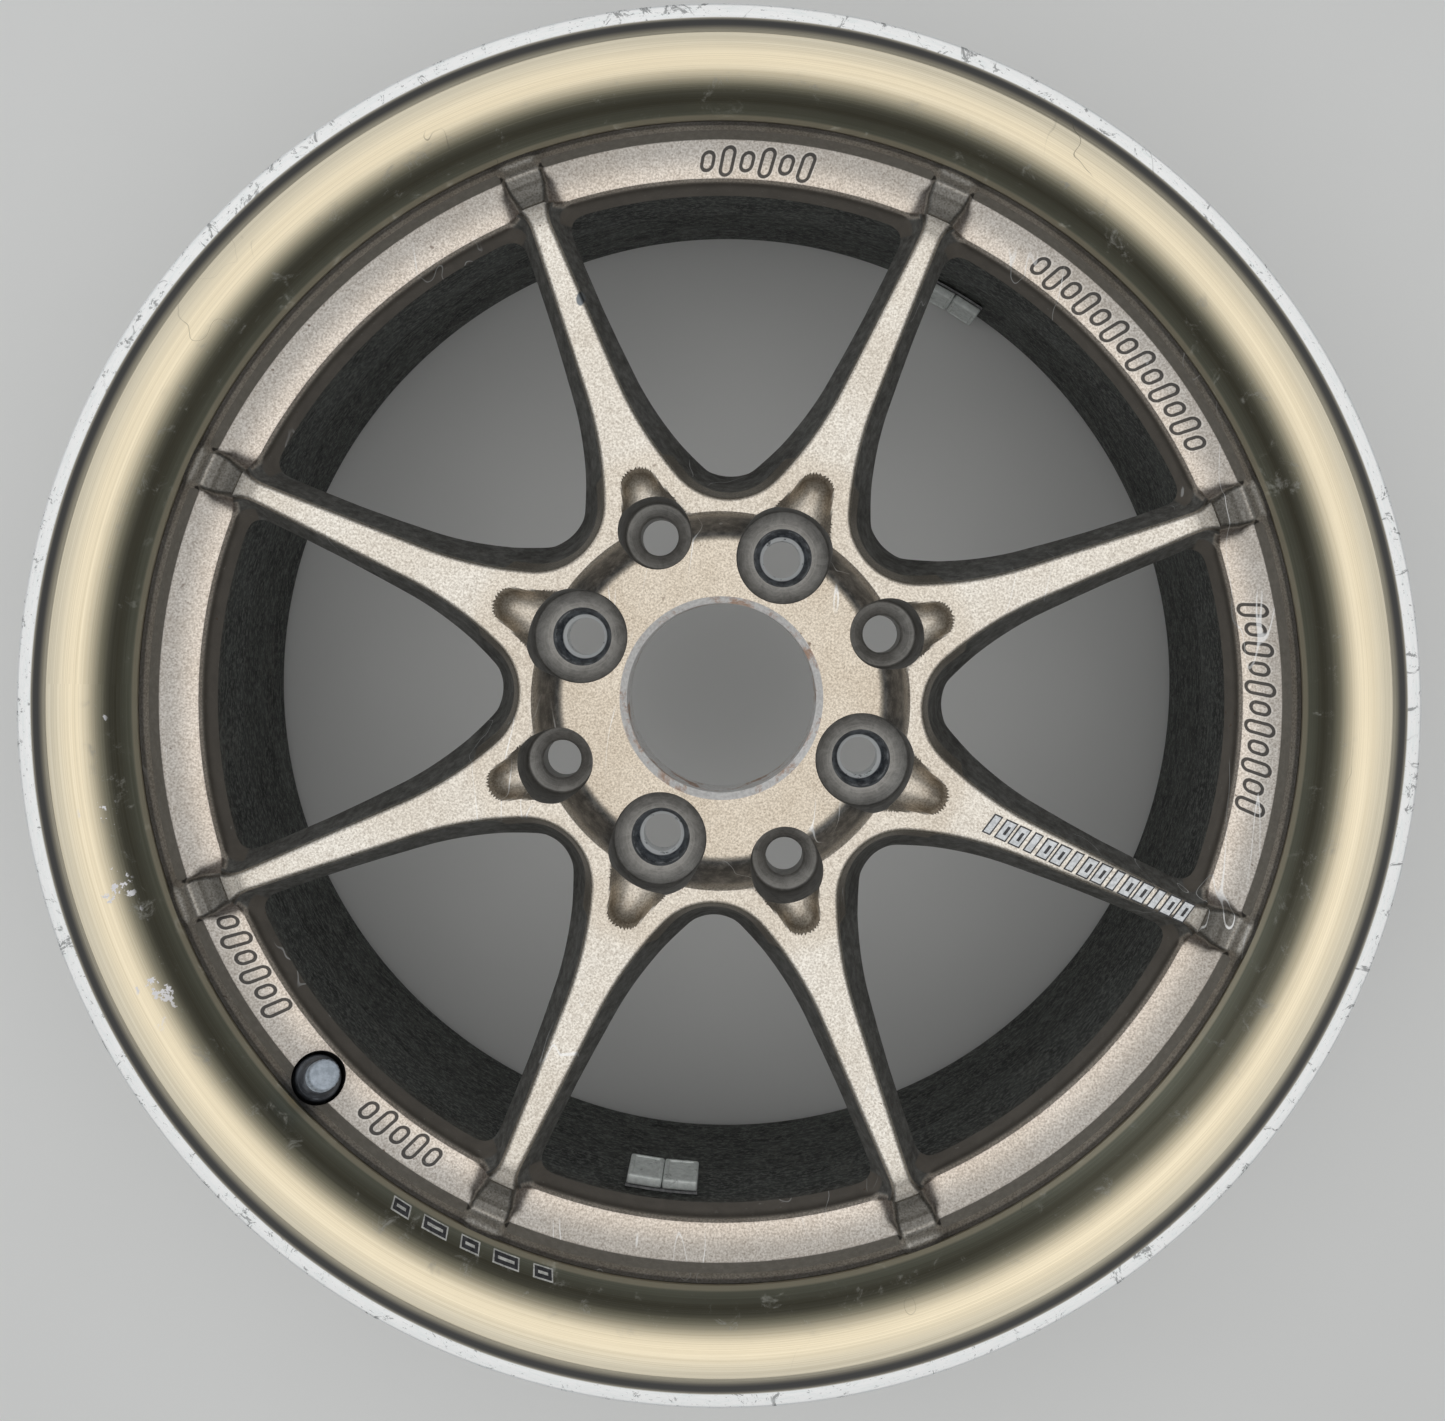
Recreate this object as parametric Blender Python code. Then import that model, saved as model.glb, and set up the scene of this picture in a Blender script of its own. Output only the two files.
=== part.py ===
"""A forged 15 x 6.5J racing wheel, lying face up: barrel, hub, eight spokes, valve and weights.

Lengths are in millimetres and become metres when a mesh is made. A depth is measured down from
the front flange, so height = WIDTH - depth. The origin is on the wheel's axis, in the plane of
the rear flange.
"""
import math

import bmesh
import bpy
from mathutils import Matrix, Vector

MM = 0.001
GAP = 0.3                    # clearance between neighbouring solids

# Rim: 15 inch J flanges, 6.5 inch between the beads
WIDTH = 191.1
FLANGE_R = 207.4
BEAD_SEAT_R = 190.1
FLANGE_WIDTH = 13.0
CURL_R = 9.4                 # outer radius of a flange's curl
WELL_R = 170.4               # tyre side of the drop centre
WELL_INNER_R = 167.2
BARREL_INNER_R = 184.8

# The forging's rim is split into four rings at these depths, so that each ring's collision is simple
RING_NAMES = ("rim_front", "rim_well", "rim_barrel", "rim_rear")
RING_SPLITS = (52.0, 78.0, 150.0)

# Front lip, ledge and the band that the spokes grow from
LIP_R = 202.4
LIP_FOOT_R = 178.7
LIP_FOOT_DEPTH = 17.0
LEDGE_R = 176.4
LEDGE_DEPTH = 21.1
BAND_OUTER_R = 174.4
BAND_OUTER_DEPTH = 26.4
BAND_INNER_R = 164.9
BAND_INNER_DEPTH = 29.6
WALL_FOOT_R = 161.9
WALL_FOOT_DEPTH = 39.2

# Hub
BORE_R = 31.0
FLOOR_DEPTH = 45.0
MOUNT_DEPTH = 67.5           # rear mounting face: 28 mm outboard of the rim's centre plane
RECESS_R = 58.9
FACE_DEPTH = 27.7            # spoke faces where they leave the hub
PAD_R = 73.5
HUB_APOTHEM = 80.0           # the hub region ends here along each spoke

# Spokes and the windows between them
SPOKES = 8
SPOKE_TIP_R = 162.3
SPOKE_TIP_DEPTH = 21.5
WINDOW_APEX_R = 63.5         # inner end of a window in the plane of the hub's face
APEX_ARC_R = 21.0
SIDE_ARC_R = 113.0
APEX_TURN = math.radians(42.0)
SIDE_ANGLE = math.radians(24.2)
DRAFT = 0.30                 # sideways mm per mm of depth on every window wall

# Stud holes: two drillings of four on the spoke centre lines
HOLE_R = 6.3
BIG_PCD_R = 50.0
SMALL_PCD_R = 57.15
DRILL_LEAD = math.radians(0.7)   # both drillings sit this far ahead of the spoke centre lines
BIG_POCKET_R = 15.2
SMALL_POCKET_R = 11.3

# Valve: its axis leans towards the wheel's axis
VALVE_ANGLE = math.radians(-135.0)
VALVE_R = 173.0
VALVE_DEPTH = 27.5
VALVE_LEAN = math.radians(28.0)
VALVE_POCKET_R = 8.2
VALVE_HOLE_R = 5.75
VALVE_POCKET_FLOOR = -9.3    # heights along the valve's own axis from here on
STEM_R = 3.85
STEM_TOP = 20.5
STEM_FOOT = -18.0

RIM_SEGMENTS = 80
POCKET_SEGMENTS = 24
VALVE_SEGMENTS = 20

for old in list(bpy.data.objects):
    bpy.data.objects.remove(old)


def material(name, colour, roughness, metallic):
    made = bpy.data.materials.new(name)
    made.use_nodes = True
    shader = made.node_tree.nodes["Principled BSDF"]
    shader.inputs["Base Color"].default_value = (*colour, 1.0)
    shader.inputs["Roughness"].default_value = roughness
    shader.inputs["Metallic"].default_value = metallic
    return made


def add_object(name, mesh, mat=None, smooth_angle=35.0):
    mesh.name = name
    if mat:
        mesh.materials.clear()
        mesh.materials.append(mat)
    mesh.shade_smooth()
    mesh.set_sharp_from_angle(angle=math.radians(smooth_angle))
    made = bpy.data.objects.new(name, mesh)
    bpy.context.scene.collection.objects.link(made)
    return made


def mesh_from(bm):
    """Closes the books on a bmesh drawn in millimetres and returns it as a mesh in metres."""
    bmesh.ops.remove_doubles(bm, verts=bm.verts, dist=0.001)
    bmesh.ops.scale(bm, vec=(MM, MM, MM), verts=bm.verts)
    bmesh.ops.recalc_face_normals(bm, faces=bm.faces)
    mesh = bpy.data.meshes.new("mesh")
    bm.to_mesh(mesh)
    bm.free()
    return mesh


def rounded(corners, steps=2):
    """Turns (r, z, fillet radius) corners of a closed outline into (r, z) points with arcs."""
    points = []
    for i, (r, z, fillet) in enumerate(corners):
        here = Vector((r, z))
        if fillet <= 0.0:
            points.append(here)
            continue
        before = (Vector(corners[i - 1][:2]) - here)
        after = (Vector(corners[(i + 1) % len(corners)][:2]) - here)
        half = before.angle(after) / 2
        run = min(fillet / math.tan(half), 0.48 * before.length, 0.48 * after.length)
        radius = run * math.tan(half)
        middle = here + (before.normalized() + after.normalized()).normalized() * radius / math.sin(half)
        start = here + before.normalized() * run - middle
        turn = start.angle_signed(here + after.normalized() * run - middle)
        for step in range(steps + 1):
            arm = start.copy()
            arm.rotate(Matrix.Rotation(-turn * step / steps, 2))
            points.append(middle + arm)
    return points


def ring(outline, segments, start=0.0, sweep=2 * math.pi):
    """Spins a closed (r, z) outline about Z: a full ring, or a capped sector of one."""
    bm = bmesh.new()
    turned = Matrix.Rotation(start, 3, "Z")
    verts = [bm.verts.new(turned @ Vector((r, 0.0, z))) for r, z in outline]
    full = sweep >= 2 * math.pi
    if full:
        edges = [bm.edges.new((verts[i - 1], verts[i])) for i in range(len(verts))]
        bmesh.ops.spin(bm, geom=verts + edges, axis=(0, 0, 1), cent=(0, 0, 0), angle=sweep,
                       steps=segments, use_merge=True)
    else:
        face = bm.faces.new(verts)
        first = bmesh.ops.duplicate(bm, geom=[face])["geom"]
        cap = [item for item in first if isinstance(item, bmesh.types.BMFace)]
        bmesh.ops.spin(bm, geom=cap, axis=(0, 0, 1), cent=(0, 0, 0), angle=sweep, steps=segments)
    return mesh_from(bm)


def turned_solid(outline, segments):
    """Spins an open (r, z) outline that starts and ends on Z into a solid of revolution."""
    bm = bmesh.new()
    verts = [bm.verts.new((r, 0.0, z)) for r, z in outline]
    edges = [bm.edges.new(pair) for pair in zip(verts, verts[1:])]
    bmesh.ops.spin(bm, geom=verts + edges, axis=(0, 0, 1), cent=(0, 0, 0), angle=2 * math.pi,
                   steps=segments, use_merge=True)
    return mesh_from(bm)


def drafted_prism(lower, upper, z_lower, z_upper):
    """A closed solid between two outlines with the same number of points."""
    bm = bmesh.new()
    floor = bm.faces.new([bm.verts.new((x, y, z_lower)) for x, y in lower])
    roof = bmesh.ops.extrude_face_region(bm, geom=[floor])["geom"]
    top = [item for item in roof if isinstance(item, bmesh.types.BMFace)][0]
    for vert, (x, y) in zip(top.verts, upper):
        vert.co = (x, y, z_upper)
    return mesh_from(bm)


def depths(points):
    """(r, depth) or (r, depth, fillet) points as heights."""
    return [(point[0], WIDTH - point[1], *point[2:]) for point in points]


def cutter(name, mesh):
    made = add_object(name, mesh)
    made.hide_render = True
    made.display_type = "WIRE"
    return made


def carve(target, operation, tools):
    for tool in tools:
        cut = target.modifiers.new("cut", "BOOLEAN")
        cut.operation = operation
        cut.object = tool
        cut.solver = "EXACT"


def baked(target):
    """The target's mesh with its cuts applied."""
    bpy.context.view_layer.update()
    seen = target.evaluated_get(bpy.context.evaluated_depsgraph_get())
    mesh = bpy.data.meshes.new_from_object(seen)
    bpy.data.objects.remove(target)
    return mesh


# ------------------------------------------------------------------ valve frame
valve_frame = (Matrix.Rotation(VALVE_ANGLE, 4, "Z")
               @ Matrix.Translation((VALVE_R * MM, 0.0, (WIDTH - VALVE_DEPTH) * MM))
               @ Matrix.Rotation(-VALVE_LEAN, 4, "Y"))
valve_axis = bpy.data.objects.new("valve_axis", None)
valve_axis.empty_display_size = 0.02
valve_axis.matrix_world = valve_frame
bpy.context.scene.collection.objects.link(valve_axis)


def on_valve(name, mesh, mat):
    made = add_object(name, mesh, mat)
    made.parent = valve_axis
    return made


# ------------------------------------------------------------------ rim barrel
def rim_corners():
    """The rim's section: down the tyre side from the front flange, then up the open side."""
    front_face = FLANGE_WIDTH
    rear_face = WIDTH - FLANGE_WIDTH
    return depths([
        (FLANGE_R, 0.0, 1.0),
        (FLANGE_R, front_face, CURL_R),
        (BEAD_SEAT_R, front_face, 5.0),
        (BEAD_SEAT_R - 1.6, 30.5, 0.0),
        (BEAD_SEAT_R - 0.8, 32.5, 0.0),
        (BEAD_SEAT_R - 2.6, 35.0, 0.0),
        (WELL_R + 0.6, 44.0, 0.0),
        (WELL_R, 46.0, 0.0),
        (WELL_R, 79.0, 0.0),
        (187.0, 97.0, 0.0),
        (187.2, 154.0, 0.0),
        (BEAD_SEAT_R - 0.8, 157.0, 0.0),
        (BEAD_SEAT_R - 1.6, 159.5, 0.0),
        (BEAD_SEAT_R, rear_face, 5.0),
        (FLANGE_R, rear_face, CURL_R),
        (FLANGE_R, WIDTH, 1.0),
        (200.5, WIDTH, 0.0),
        (192.5, 188.2, 0.0),
        (BARREL_INNER_R + 0.4, 180.0, 0.0),
        (BARREL_INNER_R, 158.0, 0.0),
        (183.2, 99.5, 0.0),
        (WELL_INNER_R, 80.5, 0.0),
        (WELL_INNER_R, 52.0, 0.0),
        (WALL_FOOT_R, WALL_FOOT_DEPTH, 2.0),
        (BAND_INNER_R, BAND_INNER_DEPTH, 1.8),
        (BAND_OUTER_R, BAND_OUTER_DEPTH, 1.8),
        (LEDGE_R, LEDGE_DEPTH, 0.0),
        (LIP_FOOT_R - 0.4, 19.6, 0.0),
        (LIP_FOOT_R, LIP_FOOT_DEPTH, 0.0),
        (184.4, 8.4, 7.0),
        (199.6, 2.4, 0.0),
        (LIP_R, 0.0, 0.0),
    ])


def kept_side(outline, height, side):
    """Clips a closed (r, z) outline at a height. side 1 keeps what is above it, -1 what is below."""
    kept = []
    for i, (r1, z1) in enumerate(outline):
        r0, z0 = outline[i - 1]
        if (z0 - height) * (z1 - height) < 0:
            kept.append((r0 + (r1 - r0) * (height - z0) / (z1 - z0), height))
        if (z1 - height) * side >= 0:
            kept.append((r1, z1))
    return kept


def build_rim():
    gold = material("rim_gold", (0.50, 0.40, 0.24), 0.34, 0.85)
    section = [tuple(point) for point in rounded(rim_corners())]
    tops = [0.0] + [depth + GAP for depth in RING_SPLITS]
    feet = list(RING_SPLITS) + [WIDTH]
    rings = []
    for name, top, foot in zip(RING_NAMES, tops, feet):
        part = section if top == 0.0 else kept_side(section, WIDTH - top, -1)
        part = part if foot == WIDTH else kept_side(part, WIDTH - foot, 1)
        rings.append(add_object(name, ring(part, RIM_SEGMENTS), gold))
    pocket = cutter("valve_pocket_cutter", turned_solid([
        (0.0, 12.0), (VALVE_POCKET_R, 12.0), (VALVE_POCKET_R, VALVE_POCKET_FLOOR),
        (VALVE_HOLE_R, VALVE_POCKET_FLOOR), (VALVE_HOLE_R, -24.0), (0.0, -24.0)], VALVE_SEGMENTS))
    pocket.parent = valve_axis
    carve(rings[0], "DIFFERENCE", [pocket])


# ------------------------------------------------------------------ hub and spokes
def spider_section(r_inner, r_outer):
    """The section of hub and spokes between two radii, before the windows are cut."""
    face = [
        (BORE_R, FLOOR_DEPTH), (51.5, FLOOR_DEPTH), (54.6, 43.0), (56.2, 38.0), (RECESS_R, FACE_DEPTH),
        (SPOKE_TIP_R, SPOKE_TIP_DEPTH), (174.6, 24.3),
    ]
    back = [
        (174.1, BAND_OUTER_DEPTH - 0.4), (BAND_INNER_R - 0.2, BAND_INNER_DEPTH - 0.5),
        (BAND_INNER_R - 1.0, BAND_INNER_DEPTH + 1.6), (WALL_FOOT_R - 0.4, WALL_FOOT_DEPTH - 0.7),
        (145.0, 38.2), (130.0, 39.0), (118.0, 41.0), (106.0, 44.0), (98.0, 47.0), (85.0, 52.5),
        (PAD_R + 1.5, 59.0), (PAD_R, 63.0), (PAD_R, MOUNT_DEPTH), (BORE_R, MOUNT_DEPTH),
    ]

    def clipped(line):
        kept = []
        for (r0, d0), (r1, d1) in zip(line, line[1:]):
            if not kept and r_inner <= r0 <= r_outer:
                kept.append((r0, d0))
            for limit in sorted((r_inner, r_outer), reverse=r1 < r0):
                if min(r0, r1) < limit < max(r0, r1):
                    kept.append((limit, d0 + (d1 - d0) * (limit - r0) / (r1 - r0)))
            if r_inner <= r1 <= r_outer:
                kept.append((r1, d1))
        return kept

    return depths(clipped(face) + clipped(back))


def window_outline(inset):
    """A window's outline, its walls moved in by inset, open ended beyond the spoke tips."""
    half = []
    steps = 4
    first_centre = Vector((WINDOW_APEX_R + APEX_ARC_R, 0.0))
    first_r = APEX_ARC_R - inset
    for step in range(steps):
        turn = math.pi / 2 + (APEX_TURN - math.pi / 2) * step / steps
        half.append(first_centre + first_r * Vector((-math.sin(turn), math.cos(turn))))
    joint = first_centre + APEX_ARC_R * Vector((-math.sin(APEX_TURN), math.cos(APEX_TURN)))
    second_centre = joint - SIDE_ARC_R * Vector((-math.sin(APEX_TURN), math.cos(APEX_TURN)))
    for step in range(steps + 1):
        turn = APEX_TURN + (SIDE_ANGLE - APEX_TURN) * step / steps
        half.append(second_centre + (SIDE_ARC_R - inset) * Vector((-math.sin(turn), math.cos(turn))))
    reach = 190.0 - half[-1].x
    half.append(half[-1] + Vector((reach, reach * math.tan(SIDE_ANGLE))))
    return [(p.x, p.y) for p in half] + [(p.x, -p.y) for p in reversed(half[1:])]


def window_cutter(angle):
    shallow, deep = 12.0, 74.0
    mesh = drafted_prism(window_outline(DRAFT * (deep - FACE_DEPTH)),
                         window_outline(DRAFT * (shallow - FACE_DEPTH)), WIDTH - deep, WIDTH - shallow)
    made = cutter("window_cutter", mesh)
    made.rotation_euler.z = angle
    return made


def stud_places():
    """(angle, pitch radius, is it a big pocket) for the eight stud holes."""
    places = []
    for k in range(SPOKES):
        big = k % 2 == 1
        angle = (k + 0.5) * 2 * math.pi / SPOKES + DRILL_LEAD
        places.append((angle, BIG_PCD_R if big else SMALL_PCD_R, big))
    return places


def pocket_cutter(angle, pitch_r, big):
    if big:
        wall = [(BIG_POCKET_R + 0.4, 14.0), (BIG_POCKET_R, 47.5), (9.6, 53.5), (6.8, 58.4)]
    else:
        wall = [(SMALL_POCKET_R + 0.2, 14.0), (SMALL_POCKET_R, 55.0)]
    foot = wall[-1][1]
    outline = [(0.0, 14.0)] + wall + [(HOLE_R, foot), (HOLE_R, 75.0), (0.0, 75.0)]
    made = cutter("pocket_cutter", turned_solid(depths(outline), POCKET_SEGMENTS))
    made.location = (pitch_r * MM * math.cos(angle), pitch_r * MM * math.sin(angle), 0.0)
    return made


def scallop_cutter(angle):
    """The round-nosed relief that runs from a stud pocket out along its spoke."""
    bm = bmesh.new()
    bmesh.ops.create_uvsphere(bm, u_segments=16, v_segments=10, radius=1.0)
    bmesh.ops.scale(bm, vec=(15.0, 8.3, 8.5), verts=bm.verts)
    bmesh.ops.translate(bm, vec=(63.0, 0.0, WIDTH - FACE_DEPTH), verts=bm.verts)
    made = cutter("scallop_cutter", mesh_from(bm))
    made.rotation_euler.z = angle
    return made


def build_hub():
    bronze = material("hub_bronze", (0.36, 0.29, 0.22), 0.42, 0.7)
    hub = add_object("hub_blank", ring(spider_section(0.0, 92.0), RIM_SEGMENTS))
    corner = (HUB_APOTHEM - GAP / 2) / math.cos(math.pi / SPOKES)
    octagon = [(corner * math.cos(2 * math.pi * k / SPOKES), corner * math.sin(2 * math.pi * k / SPOKES))
               for k in range(SPOKES)]
    outline = cutter("hub_octagon", drafted_prism(octagon, octagon, WIDTH - 90.0, WIDTH - 10.0))
    windows = [window_cutter(2 * math.pi * k / SPOKES) for k in range(SPOKES)]
    scallops = [scallop_cutter((k + 0.5) * 2 * math.pi / SPOKES) for k in range(SPOKES)]
    pockets = [pocket_cutter(*place) for place in stud_places()]
    carve(hub, "INTERSECT", [outline])
    carve(hub, "DIFFERENCE", windows + scallops + pockets)
    mesh = baked(hub)
    for tool in [outline] + windows + scallops + pockets:
        bpy.data.objects.remove(tool)
    return add_object("hub_centre", mesh, bronze)


def build_spokes():
    """One spoke along +X, its mesh shared by all eight."""
    half_sector = math.radians(18.0)
    sector = ring(spider_section(76.0, 180.0), 8, -half_sector, 2 * half_sector)
    blank = add_object("spoke_blank", sector)
    windows = [window_cutter(side * math.pi / SPOKES) for side in (-1, 1)]
    start = HUB_APOTHEM + GAP / 2
    square = [(60.0, -40.0), (start, -40.0), (start, 40.0), (60.0, 40.0)]
    root = cutter("spoke_root_cutter", drafted_prism(square, square, WIDTH - 90.0, WIDTH - 10.0))
    carve(blank, "DIFFERENCE", windows + [root])
    mesh = baked(blank)
    for tool in windows + [root]:
        bpy.data.objects.remove(tool)
    bronze = material("spoke_bronze", (0.40, 0.33, 0.25), 0.40, 0.7)
    for k in range(SPOKES):
        spoke = add_object(f"spoke_{k + 1}", mesh, bronze)
        spoke.rotation_euler.z = (k + 0.5) * 2 * math.pi / SPOKES


# ------------------------------------------------------------------ valve
def build_valve():
    segments = VALVE_SEGMENTS
    neck_r = VALVE_HOLE_R - GAP
    bore_r = STEM_R + GAP
    on_valve("valve_rubber", ring([
        (bore_r, STEM_FOOT), (8.3, STEM_FOOT), (8.9, -17.0), (8.9, -14.4), (8.5, -13.9), (neck_r, -13.9),
        (neck_r, VALVE_POCKET_FLOOR + GAP), (7.5, VALVE_POCKET_FLOOR + GAP), (7.7, -7.6), (7.4, -3.0),
        (6.1, 4.0), (5.3, 9.0), (4.9, 9.6), (bore_r, 9.6)], segments),
        material("valve_rubber", (0.02, 0.02, 0.02), 0.65, 0.0))
    throat_r, chamber_r, foot_r = 2.65, 1.9, 1.0
    shoulder, seat = 10.9, 1.2
    on_valve("valve_stem", ring([
        (foot_r, STEM_FOOT), (STEM_R, STEM_FOOT), (STEM_R, STEM_TOP - 0.5), (STEM_R - 0.5, STEM_TOP),
        (throat_r, STEM_TOP), (throat_r, shoulder), (chamber_r, shoulder), (chamber_r, seat),
        (foot_r, seat)], segments),
        material("stem_brass", (0.70, 0.52, 0.25), 0.35, 1.0))
    core_r, eye_r, pin_r = throat_r - GAP, 0.95, 0.55
    seal_foot = shoulder + GAP
    seal_top = seal_foot + 1.1
    on_valve("valve_core_seal", ring([
        (eye_r, seal_foot), (core_r, seal_foot), (core_r, seal_top), (eye_r, seal_top)], 16),
        material("core_seal_red", (0.55, 0.05, 0.04), 0.5, 0.0))
    on_valve("valve_core_barrel", ring([
        (eye_r, seal_top + GAP), (core_r, seal_top + GAP), (core_r, STEM_TOP - 1.2), (eye_r, STEM_TOP - 1.2)],
        16), material("core_nickel", (0.62, 0.60, 0.55), 0.3, 1.0))
    on_valve("valve_core_pin", turned_solid([
        (0.0, -0.6), (pin_r, -0.6), (pin_r, STEM_TOP - 0.5), (0.3, STEM_TOP - 0.2),
        (0.0, STEM_TOP - 0.2)], 12), material("pin_steel", (0.60, 0.60, 0.60), 0.25, 1.0))
    poppet_top = seal_foot - GAP
    poppet_foot = poppet_top - 1.4
    on_valve("valve_core_poppet", ring([
        (pin_r + GAP, poppet_foot), (1.5, poppet_foot), (1.5, poppet_top), (pin_r + GAP, poppet_top)], 16),
        material("poppet_rubber", (0.03, 0.03, 0.03), 0.6, 0.0))
    build_spring(seat + GAP, poppet_foot - GAP)
    cap_r, mouth, roof = 4.75, 11.6, 22.2
    on_valve("valve_cap", turned_solid([
        (0.0, roof), (bore_r, roof), (bore_r, mouth), (cap_r - 0.2, mouth), (cap_r, mouth + 0.3),
        (cap_r, 22.9), (cap_r - 0.7, 23.6), (0.0, 23.6)], segments),
        material("cap_grey", (0.16, 0.17, 0.19), 0.5, 0.0))
    on_valve("valve_cap_seal", ring([
        (1.4, STEM_TOP + GAP), (3.6, STEM_TOP + GAP), (3.6, roof - GAP), (1.4, roof - GAP)], 16),
        material("cap_seal_rubber", (0.05, 0.05, 0.05), 0.6, 0.0))


def build_spring(foot, top):
    """The core's closing spring, a round wire wound about the valve's axis."""
    turns, per_turn, sides = 5.0, 14, 6
    wire_r, coil_r = 0.2, 1.25
    bm = bmesh.new()
    rings = []
    rise = top - foot - 2 * wire_r
    count = int(turns * per_turn)
    for step in range(count + 1):
        turn = 2 * math.pi * step / per_turn
        outward = Vector((math.cos(turn), math.sin(turn), 0.0))
        centre = outward * coil_r + Vector((0.0, 0.0, foot + wire_r + rise * step / count))
        around = [centre + wire_r * (math.cos(a) * outward + math.sin(a) * Vector((0.0, 0.0, 1.0)))
                  for a in (2 * math.pi * side / sides for side in range(sides))]
        verts = [bm.verts.new(point) for point in around]
        rings.append([bm.edges.new((verts[i - 1], verts[i])) for i in range(sides)])
    for lower, upper in zip(rings, rings[1:]):
        bmesh.ops.bridge_loops(bm, edges=lower + upper)
    for end in (rings[0], rings[-1]):
        bmesh.ops.contextual_create(bm, geom=end)
    on_valve("valve_core_spring", mesh_from(bm), material("spring_steel", (0.5, 0.5, 0.5), 0.3, 1.0))


# ------------------------------------------------------------------ weights and decals
def build_weights():
    """Stick-on weights: two segments on one tape in each of two places inside the barrel."""
    steel = material("weight_zinc", (0.62, 0.64, 0.66), 0.35, 1.0)
    foam = material("weight_tape", (0.30, 0.30, 0.31), 0.9, 0.0)
    tape_thickness, weight_thickness, length, width = 0.7, 3.5, 19.0, 11.7
    places = [("a", WELL_INNER_R, 57.0, math.radians(-95.2)),
              ("b", BARREL_INNER_R - 0.3, 158.5, math.radians(61.3))]
    for name, wall_r, depth, middle in places:
        tape_r = wall_r - GAP
        face_r = tape_r - tape_thickness - GAP
        pitch = (width + 0.4) / face_r
        low, high = WIDTH - depth - length, WIDTH - depth
        tape = [(tape_r - tape_thickness, low + 0.5), (tape_r, low + 0.5), (tape_r, high - 0.5),
                (tape_r - tape_thickness, high - 0.5)]
        add_object(f"weight_tape_{name}", ring(tape, 8, middle - pitch, 2 * pitch), foam)
        block = [(face_r - weight_thickness, low + 0.8), (face_r - weight_thickness + 0.8, low), (face_r, low),
                 (face_r, high), (face_r - weight_thickness + 0.8, high), (face_r - weight_thickness, high - 0.8)]
        for side in (0, 1):
            start = middle + (side - 1) * pitch + 0.2 / face_r
            add_object(f"weight_{name}{side + 1}", ring(block, 4, start, width / face_r), steel)


def build_decals():
    """Plain film markings: one on a spoke's face, one on the wall of the lip."""
    film = 0.25
    slope = math.atan2(FACE_DEPTH - SPOKE_TIP_DEPTH, SPOKE_TIP_R - RECESS_R)
    middle_r, length, width = 124.0, 73.0, 7.2
    middle_depth = FACE_DEPTH - (middle_r - RECESS_R) * math.tan(slope)
    bm = bmesh.new()
    bmesh.ops.create_cube(bm, size=1.0)
    bmesh.ops.scale(bm, vec=(length, width, film), verts=bm.verts)
    spoke_film = add_object("spoke_decal", mesh_from(bm), material("decal_white", (0.8, 0.82, 0.84), 0.4, 0.0))
    spoke_film.matrix_world = (Matrix.Rotation(-math.pi / SPOKES, 4, "Z")
                               @ Matrix.Translation((middle_r * MM, 0.0, (WIDTH - middle_depth + GAP + film / 2) * MM))
                               @ Matrix.Rotation(-slope, 4, "Y"))
    foot = Vector((LIP_FOOT_R, LIP_FOOT_DEPTH))
    wall = (Vector((184.4, 8.4)) - foot).normalized()
    inward = Vector((wall.y, -wall.x))
    strip = [foot + wall * 2.0 + inward * GAP, foot + wall * 7.0 + inward * GAP,
             foot + wall * 7.0 + inward * (GAP + film), foot + wall * 2.0 + inward * (GAP + film)]
    start, sweep = math.radians(-122.3), math.radians(18.8)
    add_object("lip_decal", ring(depths([tuple(p) for p in strip]), 8, start, sweep),
               material("decal_pale", (0.7, 0.7, 0.66), 0.4, 0.0))


build_rim()
build_hub()
build_spokes()
build_valve()
build_weights()
build_decals()
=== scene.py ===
import math

import bmesh
import bpy
import numpy as np
from mathutils import Matrix, Vector


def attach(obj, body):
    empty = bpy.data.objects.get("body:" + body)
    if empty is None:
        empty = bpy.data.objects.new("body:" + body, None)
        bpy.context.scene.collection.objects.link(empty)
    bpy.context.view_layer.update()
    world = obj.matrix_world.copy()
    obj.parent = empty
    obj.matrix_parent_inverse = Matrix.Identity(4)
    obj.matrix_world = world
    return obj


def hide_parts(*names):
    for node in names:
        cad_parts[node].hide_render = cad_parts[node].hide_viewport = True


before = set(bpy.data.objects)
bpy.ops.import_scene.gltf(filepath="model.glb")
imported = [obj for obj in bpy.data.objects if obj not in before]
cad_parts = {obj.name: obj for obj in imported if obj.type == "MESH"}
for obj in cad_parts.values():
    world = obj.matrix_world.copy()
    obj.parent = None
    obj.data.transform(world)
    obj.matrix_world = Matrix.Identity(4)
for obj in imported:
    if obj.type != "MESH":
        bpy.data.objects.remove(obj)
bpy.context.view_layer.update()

mm = 0.001
lipHeight = 191.1  # the front flange plane, in mm above the rear one; depths below are measured from it


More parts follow.
